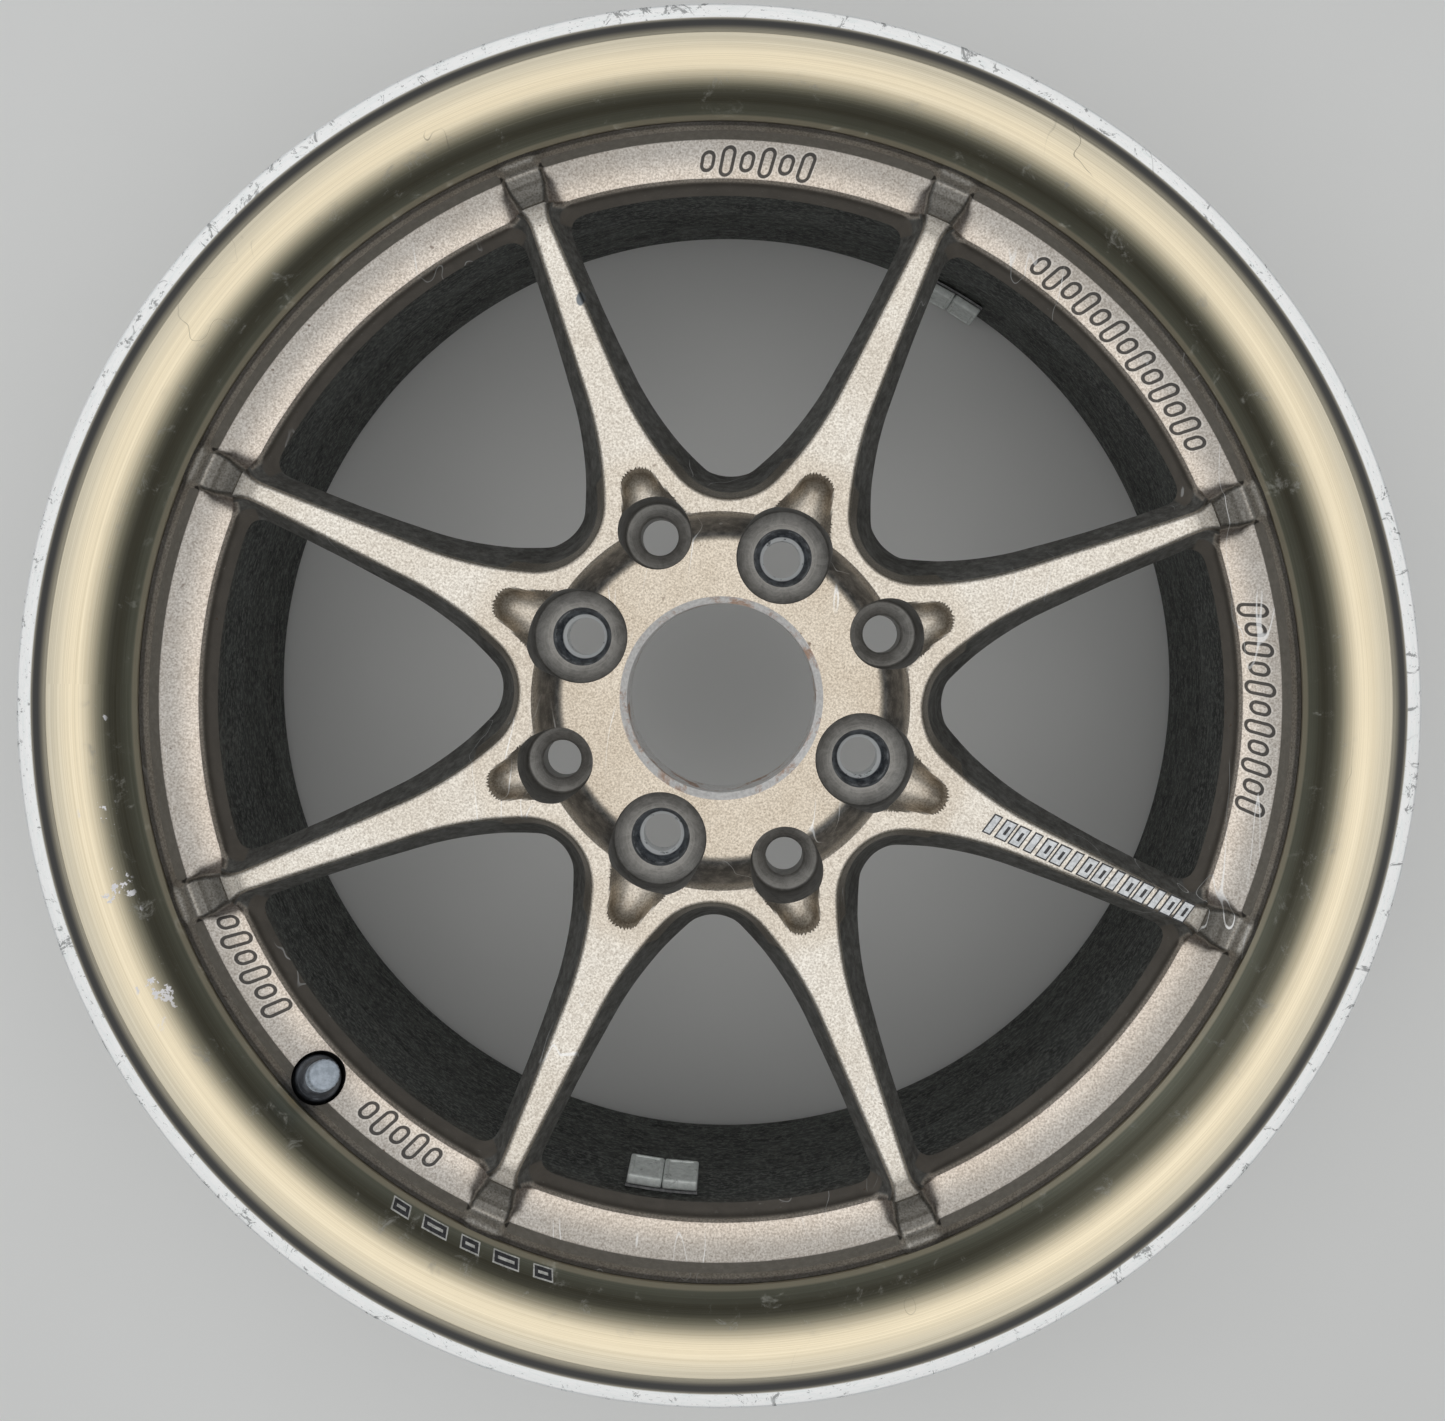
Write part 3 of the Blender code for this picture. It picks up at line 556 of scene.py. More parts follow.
# the forging: spokes, hub and band are one drafted surface; mm from the axle, mm below the lip, degrees
# "draft" is the walls' lean, "level" the depth where the window outline is true
spider = {"spokes": 8, "draft": 0.30, "apexX": 84.5, "apexR": 21.0, "sideR": 113.0, "apexTurn": 42.0,
          "sideTurn": 24.2, "level": 27.7, "edgeEase": 1.1, "split": 112.0, "widestWall": 22.0,
          "face": [(20, 45), (51.5, 45), (54.6, 43), (56.2, 38), (58.9, 27.7), (153, 22.06), (158, 22.0),
                   (163, 22.7), (168, 23.8), (172.5, 24.3), (175.6, 23.4), (177.0, 20.6), (178.4, 19.4),
                   (178.7, 17.0), (184.4, 8.4)],
          "pocketEnd": 176.2, "pocketCorner": 2.4, "tipFlare": 3.0, "flareFrom": 158, "flareOver": 16,
          "back": [(20, 67.5), (73.2, 67.5), (73.9, 63.5), (75.2, 59), (85, 52.5), (98, 47), (106, 44),
                   (118, 41), (130, 39), (145, 38.2), (161.5, 38.5), (162.5, 39.2), (190, 39.2)],
          "band": [(140, 109.4), (161.7, 39.2), (164.5, 29.5), (169, 28.5), (172.5, 27.4), (175.5, 26.4),
                   (190, 26)],
          "bandFillet": [(150, 6.5), (166, 6.5), (171, 5.5), (174.5, 0.8)],
          "scoop": {"from": 59, "to": 71.5, "wide": 10.3, "round": 5.6, "deep": [(62, 8.0), (76, 4.5)],
                    "ease": 0.9}}
halfPitch = math.pi / spider["spokes"]


apexTurn, sideTurn = math.radians(spider["apexTurn"]), math.radians(spider["sideTurn"])
sideX = spider["apexX"] + (spider["sideR"] - spider["apexR"]) * math.sin(apexTurn)  # centre of the side's arc
sideY = -(spider["sideR"] - spider["apexR"]) * math.cos(apexTurn)


def intoSpoke(x, y):
    # from the window's middle line to the spoke's, and back
    c, s = math.cos(halfPitch), math.sin(halfPitch)
    return x * c + y * s, x * s - y * c


def alongProfile(points, radius):
    return np.interp(radius, [p[0] for p in points], [p[1] for p in points])


def outlineAt(length):
    # a point of the window outline that far from its apex, and the direction into the metal
    apexEnd = spider["apexR"] * (math.pi / 2 - apexTurn)
    sideEnd = apexEnd + spider["sideR"] * (apexTurn - sideTurn)
    onApex = length < apexEnd
    turn = np.where(onApex, np.pi / 2 - length / spider["apexR"],
                    apexTurn - (length - apexEnd) / spider["sideR"])
    turn = np.maximum(turn, sideTurn)
    outX, outY = -np.sin(turn), np.cos(turn)
    run = np.maximum(length - sideEnd, 0)
    x = np.where(onApex, spider["apexX"] + spider["apexR"] * outX, sideX + spider["sideR"] * outX)
    y = np.where(onApex, spider["apexR"] * outY, sideY + spider["sideR"] * outY)
    x = x + run * math.cos(sideTurn)
    y = y + run * math.sin(sideTurn)
    return *intoSpoke(x, y), *intoSpoke(outX, outY)


def insideWindow(x, y):
    # how far a point beside the spoke's middle line is inside the window outline
    wx, wy = intoSpoke(x, y)
    ax, bx, by = wx - spider["apexX"], wx - sideX, wy - sideY
    endX, endY = sideX - spider["sideR"] * math.sin(sideTurn), sideY + spider["sideR"] * math.cos(sideTurn)
    straight = (wx - endX) * math.sin(sideTurn) - (wy - endY) * math.cos(sideTurn)
    gap = np.where(np.arctan2(-bx, by) > sideTurn, spider["sideR"] - np.hypot(bx, by), straight)
    return np.where(np.arctan2(-ax, wy) > apexTurn, spider["apexR"] - np.hypot(ax, wy), gap)


def faceAt(radius):
    return softProfile(spider["face"], radius, np.interp(radius, [150, 172], [0.8, 0.35]))


def bandAt(radius):
    return softProfile(spider["band"], radius, 0.25)


def faceGap(x, y, z, withBand):
    # below zero inside the metal, above zero over it
    radius = np.hypot(x, y)
    lean = (faceAt(radius + 0.1) - faceAt(radius - 0.1)) / 0.2
    overFace = (z - faceAt(radius)) / np.hypot(1, lean)
    slant = 1 / math.hypot(1, spider["draft"])
    inside = insideWindow(x, y)
    if withBand:
        flare = np.clip((radius - spider["flareFrom"]) / spider["flareOver"], 0, 1)
        inside = inside - spider["tipFlare"] * flare ** 1.6
        inside = bluntMin(inside, spider["pocketEnd"] - radius, spider["pocketCorner"])
    offWall = slant * (inside + spider["draft"] * (z + spider["level"]))
    gap = bluntMax(overFace, offWall, spider["edgeEase"])
    if withBand:
        slope = (bandAt(radius + 0.1) - bandAt(radius - 0.1)) / 0.2
        overBand = (z - bandAt(radius)) / np.hypot(1, slope)
        return bluntMin(gap, overBand, alongProfile(spider["bandFillet"], radius))
    scoop = spider["scoop"]  # the relief at the foot of each spoke
    half = np.interp(x, [scoop["from"], scoop["to"]], [scoop["wide"], scoop["round"]])
    sunk = np.minimum(z + spider["level"], 0) / alongProfile(scoop["deep"], x)
    reach = np.sqrt((np.maximum(x - scoop["to"], 0) / scoop["round"]) ** 2 + (y / half) ** 2 + sunk ** 2)
    return bluntMax(gap, (1 - reach) * scoop["round"], scoop["ease"])


def backHeight(radius):
    return softProfile(spider["back"], radius, 0.25)


def faceHeight(x, y, withBand):
    # the face lies somewhere between 85 and 1 mm below the lip
    return solve(lambda z: faceGap(x, y, z, withBand), np.full(x.shape, -85.0), np.full(x.shape, -1.0))


def wallOffsets(px, py, nx, ny):
    # how far into the window the wall's top edge and its foot are
    top = faceAt(np.hypot(px, py))
    edge = -spider["draft"] * (top + spider["level"])

    def short(s):
        return s + spider["draft"] * (backHeight(np.hypot(px - nx * s, py - ny * s)) + spider["level"])

    return edge, solve(short, np.zeros(px.shape), np.full(px.shape, spider["widestWall"]))


def closeSector(bm):
    # adds the back, mirrors the half sector and sets all eight round the wheel
    front = bm.faces[:] + bm.edges[:] + bm.verts[:]
    made = bmesh.ops.duplicate(bm, geom=front)["geom"]
    backs = [g for g in made if isinstance(g, bmesh.types.BMVert)]
    heights = backHeight(np.array([math.hypot(v.co.x, v.co.y) / mm for v in backs]))
    for v, h in zip(backs, heights):
        v.co.z = h * mm
    bmesh.ops.remove_doubles(bm, verts=bm.verts[:], dist=2e-6)
    whole = bm.faces[:] + bm.edges[:] + bm.verts[:]
    bmesh.ops.mirror(bm, geom=whole, matrix=Matrix.Identity(4), merge_dist=2e-6, axis="Y")
    bmesh.ops.rotate(bm, verts=bm.verts[:], cent=(0, 0, 0), matrix=Matrix.Rotation(halfPitch, 3, "Z"))
    whole = bm.faces[:] + bm.edges[:] + bm.verts[:]
    copies(bm, whole, [Matrix.Rotation(2 * halfPitch * k, 4, "Z") for k in range(1, spider["spokes"])])
    bmesh.ops.remove_doubles(bm, verts=bm.verts[:], dist=2e-6)
    bmesh.ops.translate(bm, verts=bm.verts[:], vec=(0, 0, lipHeight * mm))


def openEdges(bm, low=0.0, high=999.0):
    # open edges whose ends lie between two radii, in mm
    return [e for e in bm.edges if e.is_boundary
            and all(low < math.hypot(v.co.x, v.co.y) / mm < high for v in e.verts)]


# hub: dish, web and the inner part of each spoke
hubGrid = {"turnRows": 18, "spokeRows": 50, "topColumns": 20, "edgeColumns": 6, "wallColumns": 7,
           "boreR": 31.0, "dishR": 60.2, "turnLength": 14.5, "edgeFrom": -1.6, "edgeTo": 1.1}
bm = bmesh.new()
lengthEnd = solve(lambda n: outlineAt(n)[0] - spider["split"], np.array([20.0]), np.array([90.0]))[0]


def hubRows(row, column):
    first = hubGrid["turnRows"]
    turned = hubGrid["turnLength"]
    length = np.where(row <= first, turned * row / first,
                      turned + (lengthEnd - turned) * (row - first) / hubGrid["spokeRows"])
    ex, ey, nx, ny = outlineAt(length)
    startX = outlineAt(np.array([turned]))[0][0]
    along = np.clip((ex - startX) / (spider["split"] - startX), 0, 1)
    spin = halfPitch * (1 - np.minimum(row / first, 1))
    bx = np.where(row <= first, hubGrid["dishR"] * np.cos(spin),
                  hubGrid["dishR"] + along * (spider["split"] - hubGrid["dishR"]))
    by = np.where(row <= first, hubGrid["dishR"] * np.sin(spin), 0.0)
    square = np.clip((along - 0.55) / 0.45, 0, 1)  # the last rows turn square to the spoke
    nx = nx * (1 - square)
    ny = ny * (1 - square) - square
    big = np.hypot(nx, ny)
    nx, ny = nx / big, ny / big
    edge, foot = wallOffsets(ex, ey, nx, ny)
    tops, edges = hubGrid["topColumns"], hubGrid["topColumns"] + hubGrid["edgeColumns"]
    last = edges + hubGrid["wallColumns"]
    inner, outer = edge + hubGrid["edgeFrom"], edge + hubGrid["edgeTo"]
    offset = np.where(column <= edges, inner + (outer - inner) * (column - tops) / hubGrid["edgeColumns"],
                      outer + (foot - outer) * (column - edges) / hubGrid["wallColumns"])
    offset = np.where(column == last, foot, offset)
    ix, iy = ex - nx * inner, ey - ny * inner
    part = np.minimum(column / tops, 1)
    x = np.where(column < tops, bx + (ix - bx) * part, ex - nx * offset)
    y = np.where(column < tops, by + (iy - by) * part, ey - ny * offset)
    y = np.where((row > first) & (column == 0), 0.0, np.maximum(y, 0.0))
    z = faceHeight(x, y, False)
    z = np.where(column == last, backHeight(np.hypot(x, y)), z)
    return x, y, z


gridPatch(bm, hubGrid["turnRows"] + hubGrid["spokeRows"],
          hubGrid["topColumns"] + hubGrid["edgeColumns"] + hubGrid["wallColumns"], hubRows)
dishRadii = np.concatenate([np.linspace(hubGrid["boreR"], 50.5, 9), np.linspace(51.2, hubGrid["dishR"], 16)])


def dishRows(row, column):
    spin = halfPitch * (1 - column / hubGrid["turnRows"])
    x, y = dishRadii[row] * np.cos(spin), dishRadii[row] * np.sin(spin)
    return x, y, faceHeight(x, y, False)


gridPatch(bm, len(dishRadii) - 1, hubGrid["turnRows"], dishRows)
bmesh.ops.remove_doubles(bm, verts=bm.verts[:], dist=2e-6)
closeSector(bm)
bmesh.ops.bridge_loops(bm, edges=openEdges(bm, hubGrid["boreR"] - 0.05, hubGrid["boreR"] + 0.05))
bmesh.ops.holes_fill(bm, edges=openEdges(bm), sides=0)
bmesh.ops.recalc_face_normals(bm, faces=bm.faces[:])
print("hub open edges", sum(not e.is_manifold for e in bm.edges))
hubPiece = toObject("forgedHub", bm)

# nut pockets: two drillings, the wide ones with a bearing cone
pockets = {"lead": 0.7, "coneR": 9.7, "coneFrom": 49.2,
           "wide": {"circle": 50.0,
                    "line": [(15.75, 10), (15.3, 30), (15.2, 46.6, 1.2), (12.6, 48.6), (9.6, 49.4),
                             (9.4, 53.6), (6.9, 58.6), (6.3, 59.4), (6.3, 72)]},
           "narrow": {"circle": 57.15,
                      "line": [(11.6, 10), (11.3, 54.2, 1.4), (7.2, 55.6), (6.3, 56.6), (6.3, 72)]}}
cutterPaints = [pocketPaint, seatPaint, borePaint]


def onCone(c):
    return math.hypot(c.x, c.y) < pockets["coneR"] and lipHeight - c.z > pockets["coneFrom"]


def onBore(c, n):
    return int(math.hypot(c.x, c.y) < hubGrid["boreR"] + 0.3 and abs(n.z) < 0.5)


cutters = []
for kind, odd in (("wide", 1), ("narrow", 0)):
    for k in range(odd, 8, 2):
        line = pockets[kind]["line"]
        cutter = spunBody("cutter", [(0, line[0][1])] + line + [(0, line[-1][1])], 72, closed=False)
        paintFaces(cutter, cutterPaints, lambda c, n: int(kind == "wide" and onCone(c)))
        turn = math.radians((k + 0.5) * 45 + pockets["lead"])
        centre = Vector((math.cos(turn), math.sin(turn), 0)) * pockets[kind]["circle"] * mm
        cutters.append(moveMesh(cutter, Matrix.Translation(centre)))
chamfer = {"line": [(0, 40), (33.4, 40), (33.3, 44.9), (32.6, 45.6, 0.3), (31.0, 47.2), (0, 47.2)]}
cutters.append(spunBody("cutter", chamfer["line"], 128, closed=False))
paintFaces(cutters[-1], cutterPaints, lambda c, n: 2)
bm = bmesh.new()
for cutter in cutters:
    bm.from_mesh(cutter.data)
bm.to_mesh(cutters[0].data)
bm.free()
for cutter in cutters[1:]:
    bpy.data.objects.remove(cutter)
paintFaces(hubPiece, [bronze, borePaint], onBore)
cut(hubPiece, cutters[:1])
finishPiece(hubPiece, "hub_bronze", "hub_centre")

# spokes and band
bandGrid = {"topColumns": 9, "edgeColumns": 6, "wallColumns": 8, "gapColumns": 17, "straightTo": 150.0,
            "bendOver": 8, "spokeRows": 16, "lastR": 178.9}
nearColumns = bandGrid["topColumns"] + bandGrid["edgeColumns"] + bandGrid["wallColumns"]


def acrossSpoke(x, column):
    # distance from the spoke's middle line, for a station x and a column
    top = faceAt(x)
    edge = -spider["draft"] * (top + spider["level"])
    foot = -spider["draft"] * (backHeight(x) + spider["level"])

    def at(offset):
        return solve(lambda y: insideWindow(x, y) - offset, np.zeros(x.shape), x * math.tan(halfPitch))

    inner, outer, last = at(edge + hubGrid["edgeFrom"]), at(edge + hubGrid["edgeTo"]), at(foot)
    tops, edges = bandGrid["topColumns"], bandGrid["topColumns"] + bandGrid["edgeColumns"]
    onEdge = inner + (outer - inner) * (column - tops) / bandGrid["edgeColumns"]
    onWall = outer + (last - outer) * (column - edges) / bandGrid["wallColumns"]
    return np.where(column <= tops, inner * column / tops, np.where(column <= edges, onEdge, onWall)), last


bandRows = np.concatenate([np.linspace(bandGrid["straightTo"], 159.0, 7, endpoint=False),
                           np.linspace(159.0, 163.2, 6, endpoint=False),
                           np.linspace(163.2, 166.4, 9, endpoint=False),
                           np.linspace(166.4, 172.0, 8, endpoint=False),
                           np.linspace(172.0, bandGrid["lastR"], 22)])


def bandPlace(row, column):
    station = bandRows[row]
    y, last = acrossSpoke(station, np.minimum(column, nearColumns))
    far = station * math.sin(halfPitch)
    part = np.clip((column - nearColumns) / bandGrid["gapColumns"], 0, 1)
    y = np.where(column > nearColumns, last + (far - last) * (0.35 * part + 0.65 * part ** 1.8), y)
    bend = np.clip((station - bandGrid["straightTo"]) / bandGrid["bendOver"], 0, 1)  # rows turn into arcs
    x = np.sqrt(station ** 2 - bend * bend * (3 - 2 * bend) * y ** 2)
    z = faceHeight(x, y, True)
    return x, y, z - backHeight(np.hypot(x, y))


bm = bmesh.new()
gridPatch(bm, len(bandRows) - 1, nearColumns + bandGrid["gapColumns"], bandPlace)
# heights here are above the back, so the plane trims what lies behind it
bmesh.ops.bisect_plane(bm, geom=bm.faces[:] + bm.edges[:] + bm.verts[:], dist=1e-6, plane_co=(0, 0, 0),
                       plane_no=(0, 0, 1), clear_inner=True)
for v, h in zip(bm.verts, backHeight(np.array([math.hypot(v.co.x, v.co.y) / mm for v in bm.verts]))):
    v.co.z += h * mm


def spokePlace(row, column):
    x = spider["split"] + (bandGrid["straightTo"] - spider["split"]) * row / bandGrid["spokeRows"]
    y = acrossSpoke(x, column)[0]
    z = faceHeight(x, y, True)
    return x, y, np.where(column == nearColumns, backHeight(np.hypot(x, y)), z)


gridPatch(bm, bandGrid["spokeRows"], nearColumns, spokePlace)
bmesh.ops.remove_doubles(bm, verts=bm.verts[:], dist=2e-6)
closeSector(bm)
bmesh.ops.bridge_loops(bm, edges=openEdges(bm, bandGrid["lastR"] - 0.4))
bmesh.ops.holes_fill(bm, edges=openEdges(bm), sides=0)
bmesh.ops.recalc_face_normals(bm, faces=bm.faces[:])
print("band open edges", sum(not e.is_manifold for e in bm.edges))
bandPiece = toObject("forgedSpokes", bm)

# rim: lip, flanges, bead seats, drop centre and barrel
rim = {"steps": 480,
       "tyreSide": [(207.4, 0, 1), (207.4, 13, 9.4), (190.1, 13, 5), (188.5, 30.5, 2), (189.3, 32.5, 1.2),
                    (187.5, 35, 3), (171.0, 44.0, 2), (170.4, 46, 2), (170.4, 79, 6), (187, 97, 6),
                    (187.2, 154, 2), (189.3, 157, 1.2), (188.5, 159.5, 2), (190.1, 178.1, 5),
                    (207.4, 178.1, 9.4), (207.4, 191.1, 1)],
       "inside": [(200.5, 191.1, 1.5), (192.5, 188.2, 4), (185.2, 180, 6), (184.8, 158, 4), (183.2, 99.5, 8),
                  (167.2, 80.5, 8), (167.2, 52, 4), (162.3, 39.7), (166.0, 32.0), (174.9, 28.2)],
       "lip": [(177.6, 23.0), (179.3, 20.5), (178.72, 17.0), (184.4, 8.4, 9), (199.6, 2.4, 0.5),
               (202.4, 0, 0.4)]}
rimPiece = spunBody("wheelRim", rim["tyreSide"] + rim["inside"] + rim["lip"], rim["steps"])

# valve pocket, tilted with the valve
valve = {"turn": -135.0, "radius": 173.0, "depth": 27.5, "lean": 28.0, "pocketR": 8.2, "holeR": 5.75,
         "pocketFloor": -9.3}
valvePlace = (Matrix.Rotation(math.radians(valve["turn"]), 4, "Z")
              @ Matrix.Translation((valve["radius"] * mm, 0, (lipHeight - valve["depth"]) * mm))
              @ Matrix.Rotation(math.radians(-valve["lean"]), 4, "Y"))


def alongValve(height):
    return height * mm


def pocketCutter():
    wide, hole, foot = valve["pocketR"], valve["holeR"], valve["pocketFloor"]
    line = [(0, 30), (wide + 0.5, 30), (wide + 0.2, 3), (wide, 1), (wide, foot, 0.8),
            (hole, foot), (hole, -22), (0, -22)]
    return moveMesh(spunBody("cutter", line, 64, alongValve, closed=False), valvePlace)


def rimZone(c, n):
    # 0 is the gold lip, 1 the barrel's inside, 2 the tyre side
    radius, depth = math.hypot(c.x, c.y), lipHeight - c.z
    inward = n.x * c.x + n.y * c.y < -0.05 * radius
    if depth > 20 and radius < 201 and (inward or depth > 186):
        return 1
    return 2 if depth > 1.2 and not inward and not (n.z > 0.2 and depth < 8) else 0


paintFaces(bandPiece, [bronze])
paintFaces(rimPiece, [gold, barrelPaint, tyreSide], rimZone)
for piece in (bandPiece, rimPiece):
    tool = pocketCutter()
    paintFaces(tool, [pocketPaint])
    cut(piece, [tool])
finishPiece(bandPiece, "spoke_bronze", *["spoke_%d" % k for k in range(1, 9)])
finishPiece(rimPiece, "rim_gold", "rim_front", "rim_well", "rim_barrel", "rim_rear")
print("wheel body ready")


def blackRubber():
    # moulded rubber with a grey bloom
    p = Paint("blackRubber")
    grit = p.noise(900.0, 4.0, 0.7)
    bloom = p.noise(160.0, 4.0, 0.7)
    base = p.mix(bloom.step(0.4, 0.7), (0.045, 0.050, 0.060), (0.15, 0.165, 0.19))
    p.set(Base_Color=base, Roughness=0.50 + 0.2 * bloom, Normal=p.bump(grit, 0.25, 0.0001))
    return p.material


def greyPlastic():
    # faded cap plastic
    p = Paint("greyPlastic")
    grit = p.noise(1400.0, 3.0, 0.7)
    wear = p.noise(420.0, 4.0, 0.7)
    base = p.mix(wear.step(0.35, 0.65), (0.33, 0.38, 0.44), (0.50, 0.56, 0.64))
    p.set(Base_Color=base, Roughness=0.46 + 0.2 * wear, Normal=p.bump(grit, 0.3, 0.00008))
    return p.material


def plainMetal(name, dark, light, rough):
    # small turned or drawn fittings: fine lines, slight tarnish
    p = Paint(name)
    radius, _, depth = p.polar()
    tarnish = p.noise(320.0, 4.0, 0.7)
    lines = p.noise(1.0, 3.0, 0.6, p.vector(depth * 4.0, 0.0, radius * 0.5))
    p.set(Base_Color=p.mix(tarnish.step(0.3, 0.7), dark, light), Metallic=1.0 - 0.25 * tarnish,
          Roughness=rough + 0.2 * tarnish, Normal=p.bump(lines + tarnish, 0.2, 0.00005))
    return p.material


def softFill(name, dark, light, rough):
    # moulded rubber, plastic and foam
    p = Paint(name)
    cell = p.noise(600.0, 4.0, 0.7)
    p.set(Base_Color=p.mix(cell.step(0.3, 0.7), dark, light), Roughness=rough + 0.15 * cell,
          Normal=p.bump(cell, 0.35, 0.0001))
    return p.material


# valve pieces: mm from the valve's axis, mm above its pocket's mouth
rubber = {"line": [(4.15, -18), (8.3, -18), (8.9, -17.2, 0.5), (8.9, -14.6, 0.8), (7.9, -13.9, 0.4),
                   (5.6, -13.7, 0.5), (5.45, -9.2, 0.4), (7.2, -9.0, 0.5), (7.7, -7.4, 1.2), (7.1, -1.0, 2),
                   (6.5, 3.2, 0.4), (6.2, 3.6), (6.2, 4.1), (5.7, 5.6, 1), (5.1, 9.0, 0.6), (4.7, 9.6, 0.4),
                   (4.15, 9.6)]}
rubberPiece = moveMesh(spunBody("valveRubber", rubber["line"], 72, alongValve), valvePlace)
paintFaces(rubberPiece, [blackRubber()])
finishPiece(rubberPiece, "valve_rubber", "valve_rubber")

cap = {"grips": 18, "gripFrom": 13.0, "gripTo": 22.8, "gripOutside": 4.4, "gripNarrowing": 0.955,
       "line": [(0, 22.2), (4.15, 22.2), (4.15, 11.6), (4.5, 11.6, 0.15), (4.75, 12.1, 0.2), (4.75, 12.9),
                (4.6, 13.2), (4.6, 21.6), (4.55, 22.6, 0.5), (4.2, 23.35, 0.5), (3.2, 23.6, 0.8), (0, 23.6)]}
capPiece = spunBody("valveCap", cap["line"], cap["grips"] * 4, alongValve, closed=False, sharp=28)
for v in capPiece.data.vertices:  # pulls every other rib in, between the skirt and the crown
    gap = math.sin(math.atan2(v.co.y, v.co.x) * cap["grips"] / 2) ** 2 < 0.4
    high = cap["gripFrom"] < v.co.z / mm < cap["gripTo"]
    if gap and high and math.hypot(v.co.x, v.co.y) / mm > cap["gripOutside"]:
        v.co.xy *= cap["gripNarrowing"]
capPiece.data.set_sharp_from_angle(angle=math.radians(28))
moveMesh(capPiece, valvePlace)
paintFaces(capPiece, [greyPlastic()])
finishPiece(capPiece, "cap_grey", "valve_cap", body="cap")

fittings = {"valve_stem": plainMetal("turnedBrass", (0.42, 0.29, 0.11), (0.74, 0.56, 0.28), 0.28),
            "valve_core_barrel": plainMetal("coreNickel", (0.42, 0.41, 0.37), (0.66, 0.64, 0.60), 0.25),
            "valve_core_pin": plainMetal("pinSteel", (0.35, 0.35, 0.36), (0.65, 0.65, 0.66), 0.22),
            "valve_core_spring": plainMetal("springSteel", (0.28, 0.28, 0.29), (0.58, 0.58, 0.60), 0.25),
            "valve_core_seal": softFill("redSeal", (0.30, 0.02, 0.015), (0.55, 0.06, 0.045), 0.45),
            "valve_core_poppet": softFill("poppetRubber", (0.015, 0.015, 0.016), (0.05, 0.05, 0.052), 0.5),
            "valve_cap_seal": softFill("capSealRubber", (0.02, 0.02, 0.021), (0.07, 0.07, 0.072), 0.55),
            "weight_tape_a": softFill("foamTape", (0.20, 0.20, 0.205), (0.40, 0.40, 0.41), 0.8),
            "weight_tape_b": softFill("foamTapeTwo", (0.20, 0.20, 0.205), (0.40, 0.40, 0.41), 0.8)}
for node, paint in fittings.items():
    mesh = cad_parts[node].data
    mesh.materials.clear()
    mesh.materials.append(paint)
print("valve ready")


def zincPlate():
    # spangled zinc with road grime
    p = Paint("zincPlate")
    spangle = p.noise(500.0, 3.0, 0.6)
    grime = p.noise(210.0, 5.0, 0.75, warp=0.5)
    base = p.mix(spangle.step(0.3, 0.7), (0.78, 0.82, 0.80), (0.96, 1.0, 0.98))
    base = p.mix(grime.step(0.55, 0.72) * 0.8, base, (0.16, 0.16, 0.15))
    p.set(Base_Color=base, Metallic=0.35 - 0.2 * grime, Roughness=0.38 + 0.3 * grime,
          Normal=p.bump(spangle + grime, 0.3, 0.00015))
    return p.material


weightShape = {"bevel": 0.75, "border": 1.1, "crimp": 0.35, "tapeGap": 0.15, "inward": 0.05}
zinc = zincPlate()
for name in ("weight_a1", "weight_a2", "weight_b1", "weight_b2"):
    points = [Vector(v.co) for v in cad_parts[name].data.vertices]
    middle = sum(points, Vector()) / len(points)
    turn = math.atan2(middle.y, middle.x)
    level = [Matrix.Rotation(-turn, 3, "Z") @ p for p in points]
    low = Vector([min(p[i] for p in level) for i in range(3)])
    high = Vector([max(p[i] for p in level) for i in range(3)])
    bm = bmesh.new()
    bmesh.ops.create_cube(bm, size=1.0)
    bmesh.ops.scale(bm, vec=high - low - Vector((weightShape["tapeGap"] * mm, 0, 0)), verts=bm.verts)
    bmesh.ops.translate(bm, vec=(low + high) / 2 - Vector((weightShape["inward"] * mm, 0, 0)), verts=bm.verts)
    bmesh.ops.bevel(bm, geom=bm.edges[:], affect="EDGES", offset=weightShape["bevel"] * mm,
                    offset_type="OFFSET", segments=3, profile=0.5, material=-1)
    face = min(bm.faces, key=lambda f: f.calc_center_median().x)  # the face towards the axle
    crimp = weightShape["crimp"] * mm
    bmesh.ops.inset_individual(bm, faces=[face], thickness=weightShape["border"] * mm, depth=0.0)
    bmesh.ops.inset_individual(bm, faces=[face], thickness=crimp, depth=-crimp)
    bmesh.ops.rotate(bm, verts=bm.verts, cent=(0, 0, 0), matrix=Matrix.Rotation(turn, 3, "Z"))
    bmesh.ops.recalc_face_normals(bm, faces=bm.faces[:])
    weight = toObject(name.replace("_", "") + "Block", bm)
    paintFaces(weight, [zinc])
    finishPiece(weight, "weight_zinc", name)
print("weights ready")


def filmInk(name, dark, light):
    # printed film, rubbed thin in places
    p = Paint(name)
    worn = p.noise(700.0, 4.0, 0.75)
    p.set(Base_Color=p.mix(worn.step(0.36, 0.62), dark, light), Roughness=0.42 + 0.2 * worn,
          Normal=p.bump(worn, 0.2, 0.00005))
    return p.material


whiteInk = filmInk("whiteInk", (0.62, 0.64, 0.66), (0.93, 0.95, 0.97))
darkInk = filmInk("darkInk", (0.02, 0.02, 0.022), (0.06, 0.06, 0.065))
bars = {"from": 91.0, "to": 160.0, "count": 15, "half": 3.0, "lift": 0.10, "thick": 0.06, "border": 0.45,
        "slant": 1.4, "wide": 0.66, "narrow": 0.42}  # wide and narrow are shares of a step


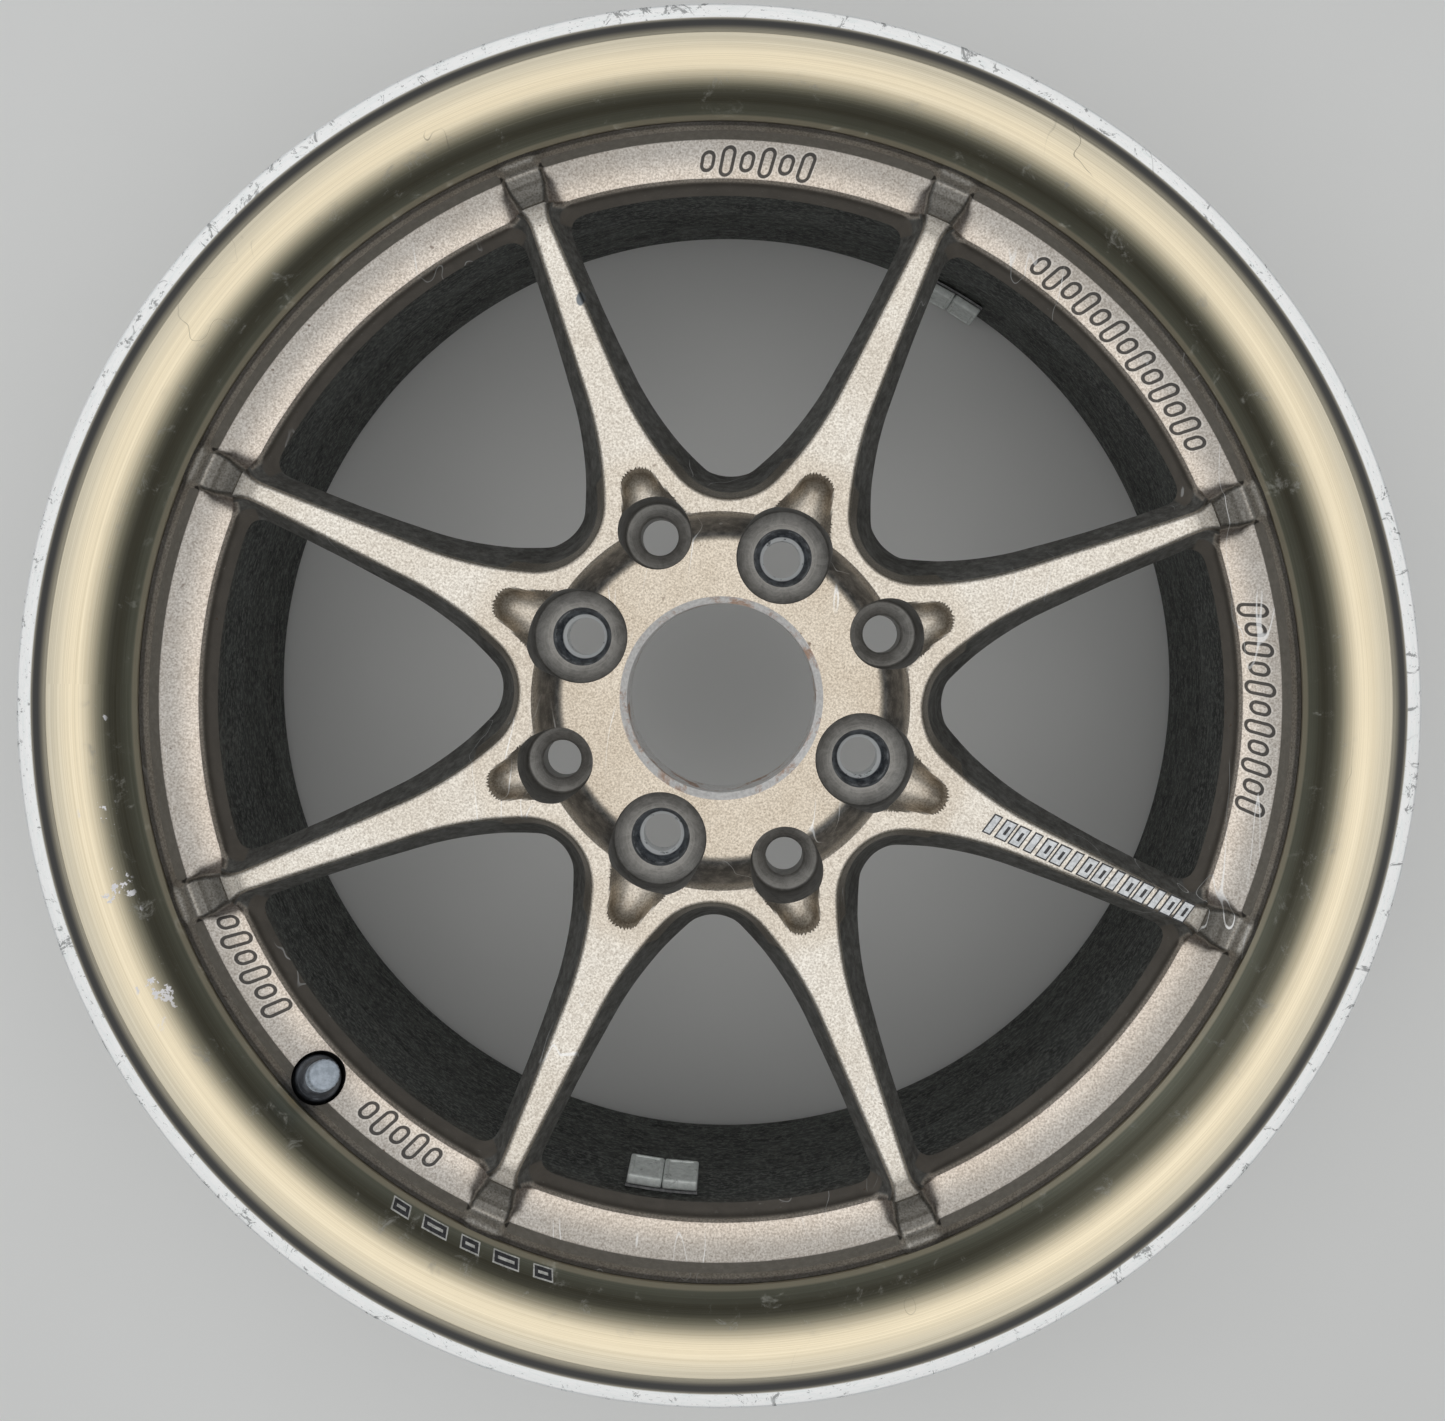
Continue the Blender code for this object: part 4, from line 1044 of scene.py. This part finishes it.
def filmBar(bm, place, length, half, slant, thickness, ink):
    # one slanted bar, mapped from flat film lengths to the wheel by place
    made = bmesh.ops.create_grid(bm, x_segments=3, y_segments=3, size=0.5)["verts"]
    face = list({f for v in made for f in v.link_faces})
    extra = bmesh.ops.extrude_face_region(bm, geom=face)["geom"]
    tops = {g for g in extra if isinstance(g, bmesh.types.BMVert)}
    for v in list(made) + list(tops):
        u, w = v.co.x * length + v.co.y * slant, v.co.y * 2 * half
        v.co = place(u, w, thickness if v in tops else 0.0)
        for f in v.link_faces:
            f.material_index = ink


def onSpoke(start):
    def place(u, w, h):
        x = start + u
        z = float(faceAt(np.array([math.hypot(x, w)]))[0]) + lipHeight + bars["lift"] + h
        return Matrix.Rotation(-halfPitch, 3, "Z") @ Vector((x * mm, w * mm, z * mm))
    return place


bm = bmesh.new()
step = (bars["to"] - bars["from"]) / bars["count"]
for k in range(bars["count"]):
    start = bars["from"] + (k + 0.5) * step
    half = bars["half"]
    wide = step * (bars["wide"] if k % 3 else bars["narrow"])
    filmBar(bm, onSpoke(start), wide + bars["border"] * 2, half + bars["border"], bars["slant"] + 0.1,
            bars["thick"], 1)
    filmBar(bm, onSpoke(start), wide, half, bars["slant"], bars["thick"] * 2.4, 0)
    if k % 3:
        filmBar(bm, onSpoke(start + 0.2), wide * 0.3, half * 0.5, bars["slant"] / 2, bars["thick"] * 3.4, 1)
bmesh.ops.recalc_face_normals(bm, faces=bm.faces[:])
spokeMarks = toObject("spokeFilmBars", bm)
paintFaces(spokeMarks, [whiteInk, darkInk])
finishPiece(spokeMarks, "decal_white", "spoke_decal")

# the foot and top of the lip's cone are points of the rim's own line
strip = {"turn": -122.3, "sweep": 18.8, "count": 5, "foot": (178.7, 17.0), "top": (184.4, 8.4),
         "up": 4.6, "lift": 0.05, "circle": 182.0, "long": 8.6, "short": 6.4}
slope = (Vector(strip["top"]) - Vector(strip["foot"])).normalized()
off = Vector((slope.y, -slope.x))


def onLip(middle):
    def place(u, w, h):
        p = Vector(strip["foot"]) + slope * (strip["up"] + w) + off * (strip["lift"] + h)
        angle = math.radians(middle) + u / strip["circle"]
        return Vector((p.x * math.cos(angle) * mm, p.x * math.sin(angle) * mm, (lipHeight - p.y) * mm))
    return place


bm = bmesh.new()
for k in range(strip["count"]):
    middle = strip["turn"] + (k + 0.5) * strip["sweep"] / strip["count"]
    long = strip["long"] if k % 2 else strip["short"]
    filmBar(bm, onLip(middle), long, 2.2, 1.2, 0.06, 0)
    filmBar(bm, onLip(middle), long - 1.0, 1.7, 1.1, 0.13, 1)
    filmBar(bm, onLip(middle), long - 3.2, 0.45, 0.3, 0.20, 0)
bmesh.ops.recalc_face_normals(bm, faces=bm.faces[:])
lipMarks = toObject("lipFilmBars", bm)
paintFaces(lipMarks, [filmInk("paleInk", (0.40, 0.40, 0.38), (0.66, 0.66, 0.63)), darkInk])
finishPiece(lipMarks, "decal_pale", "lip_decal")
print("film marks ready")
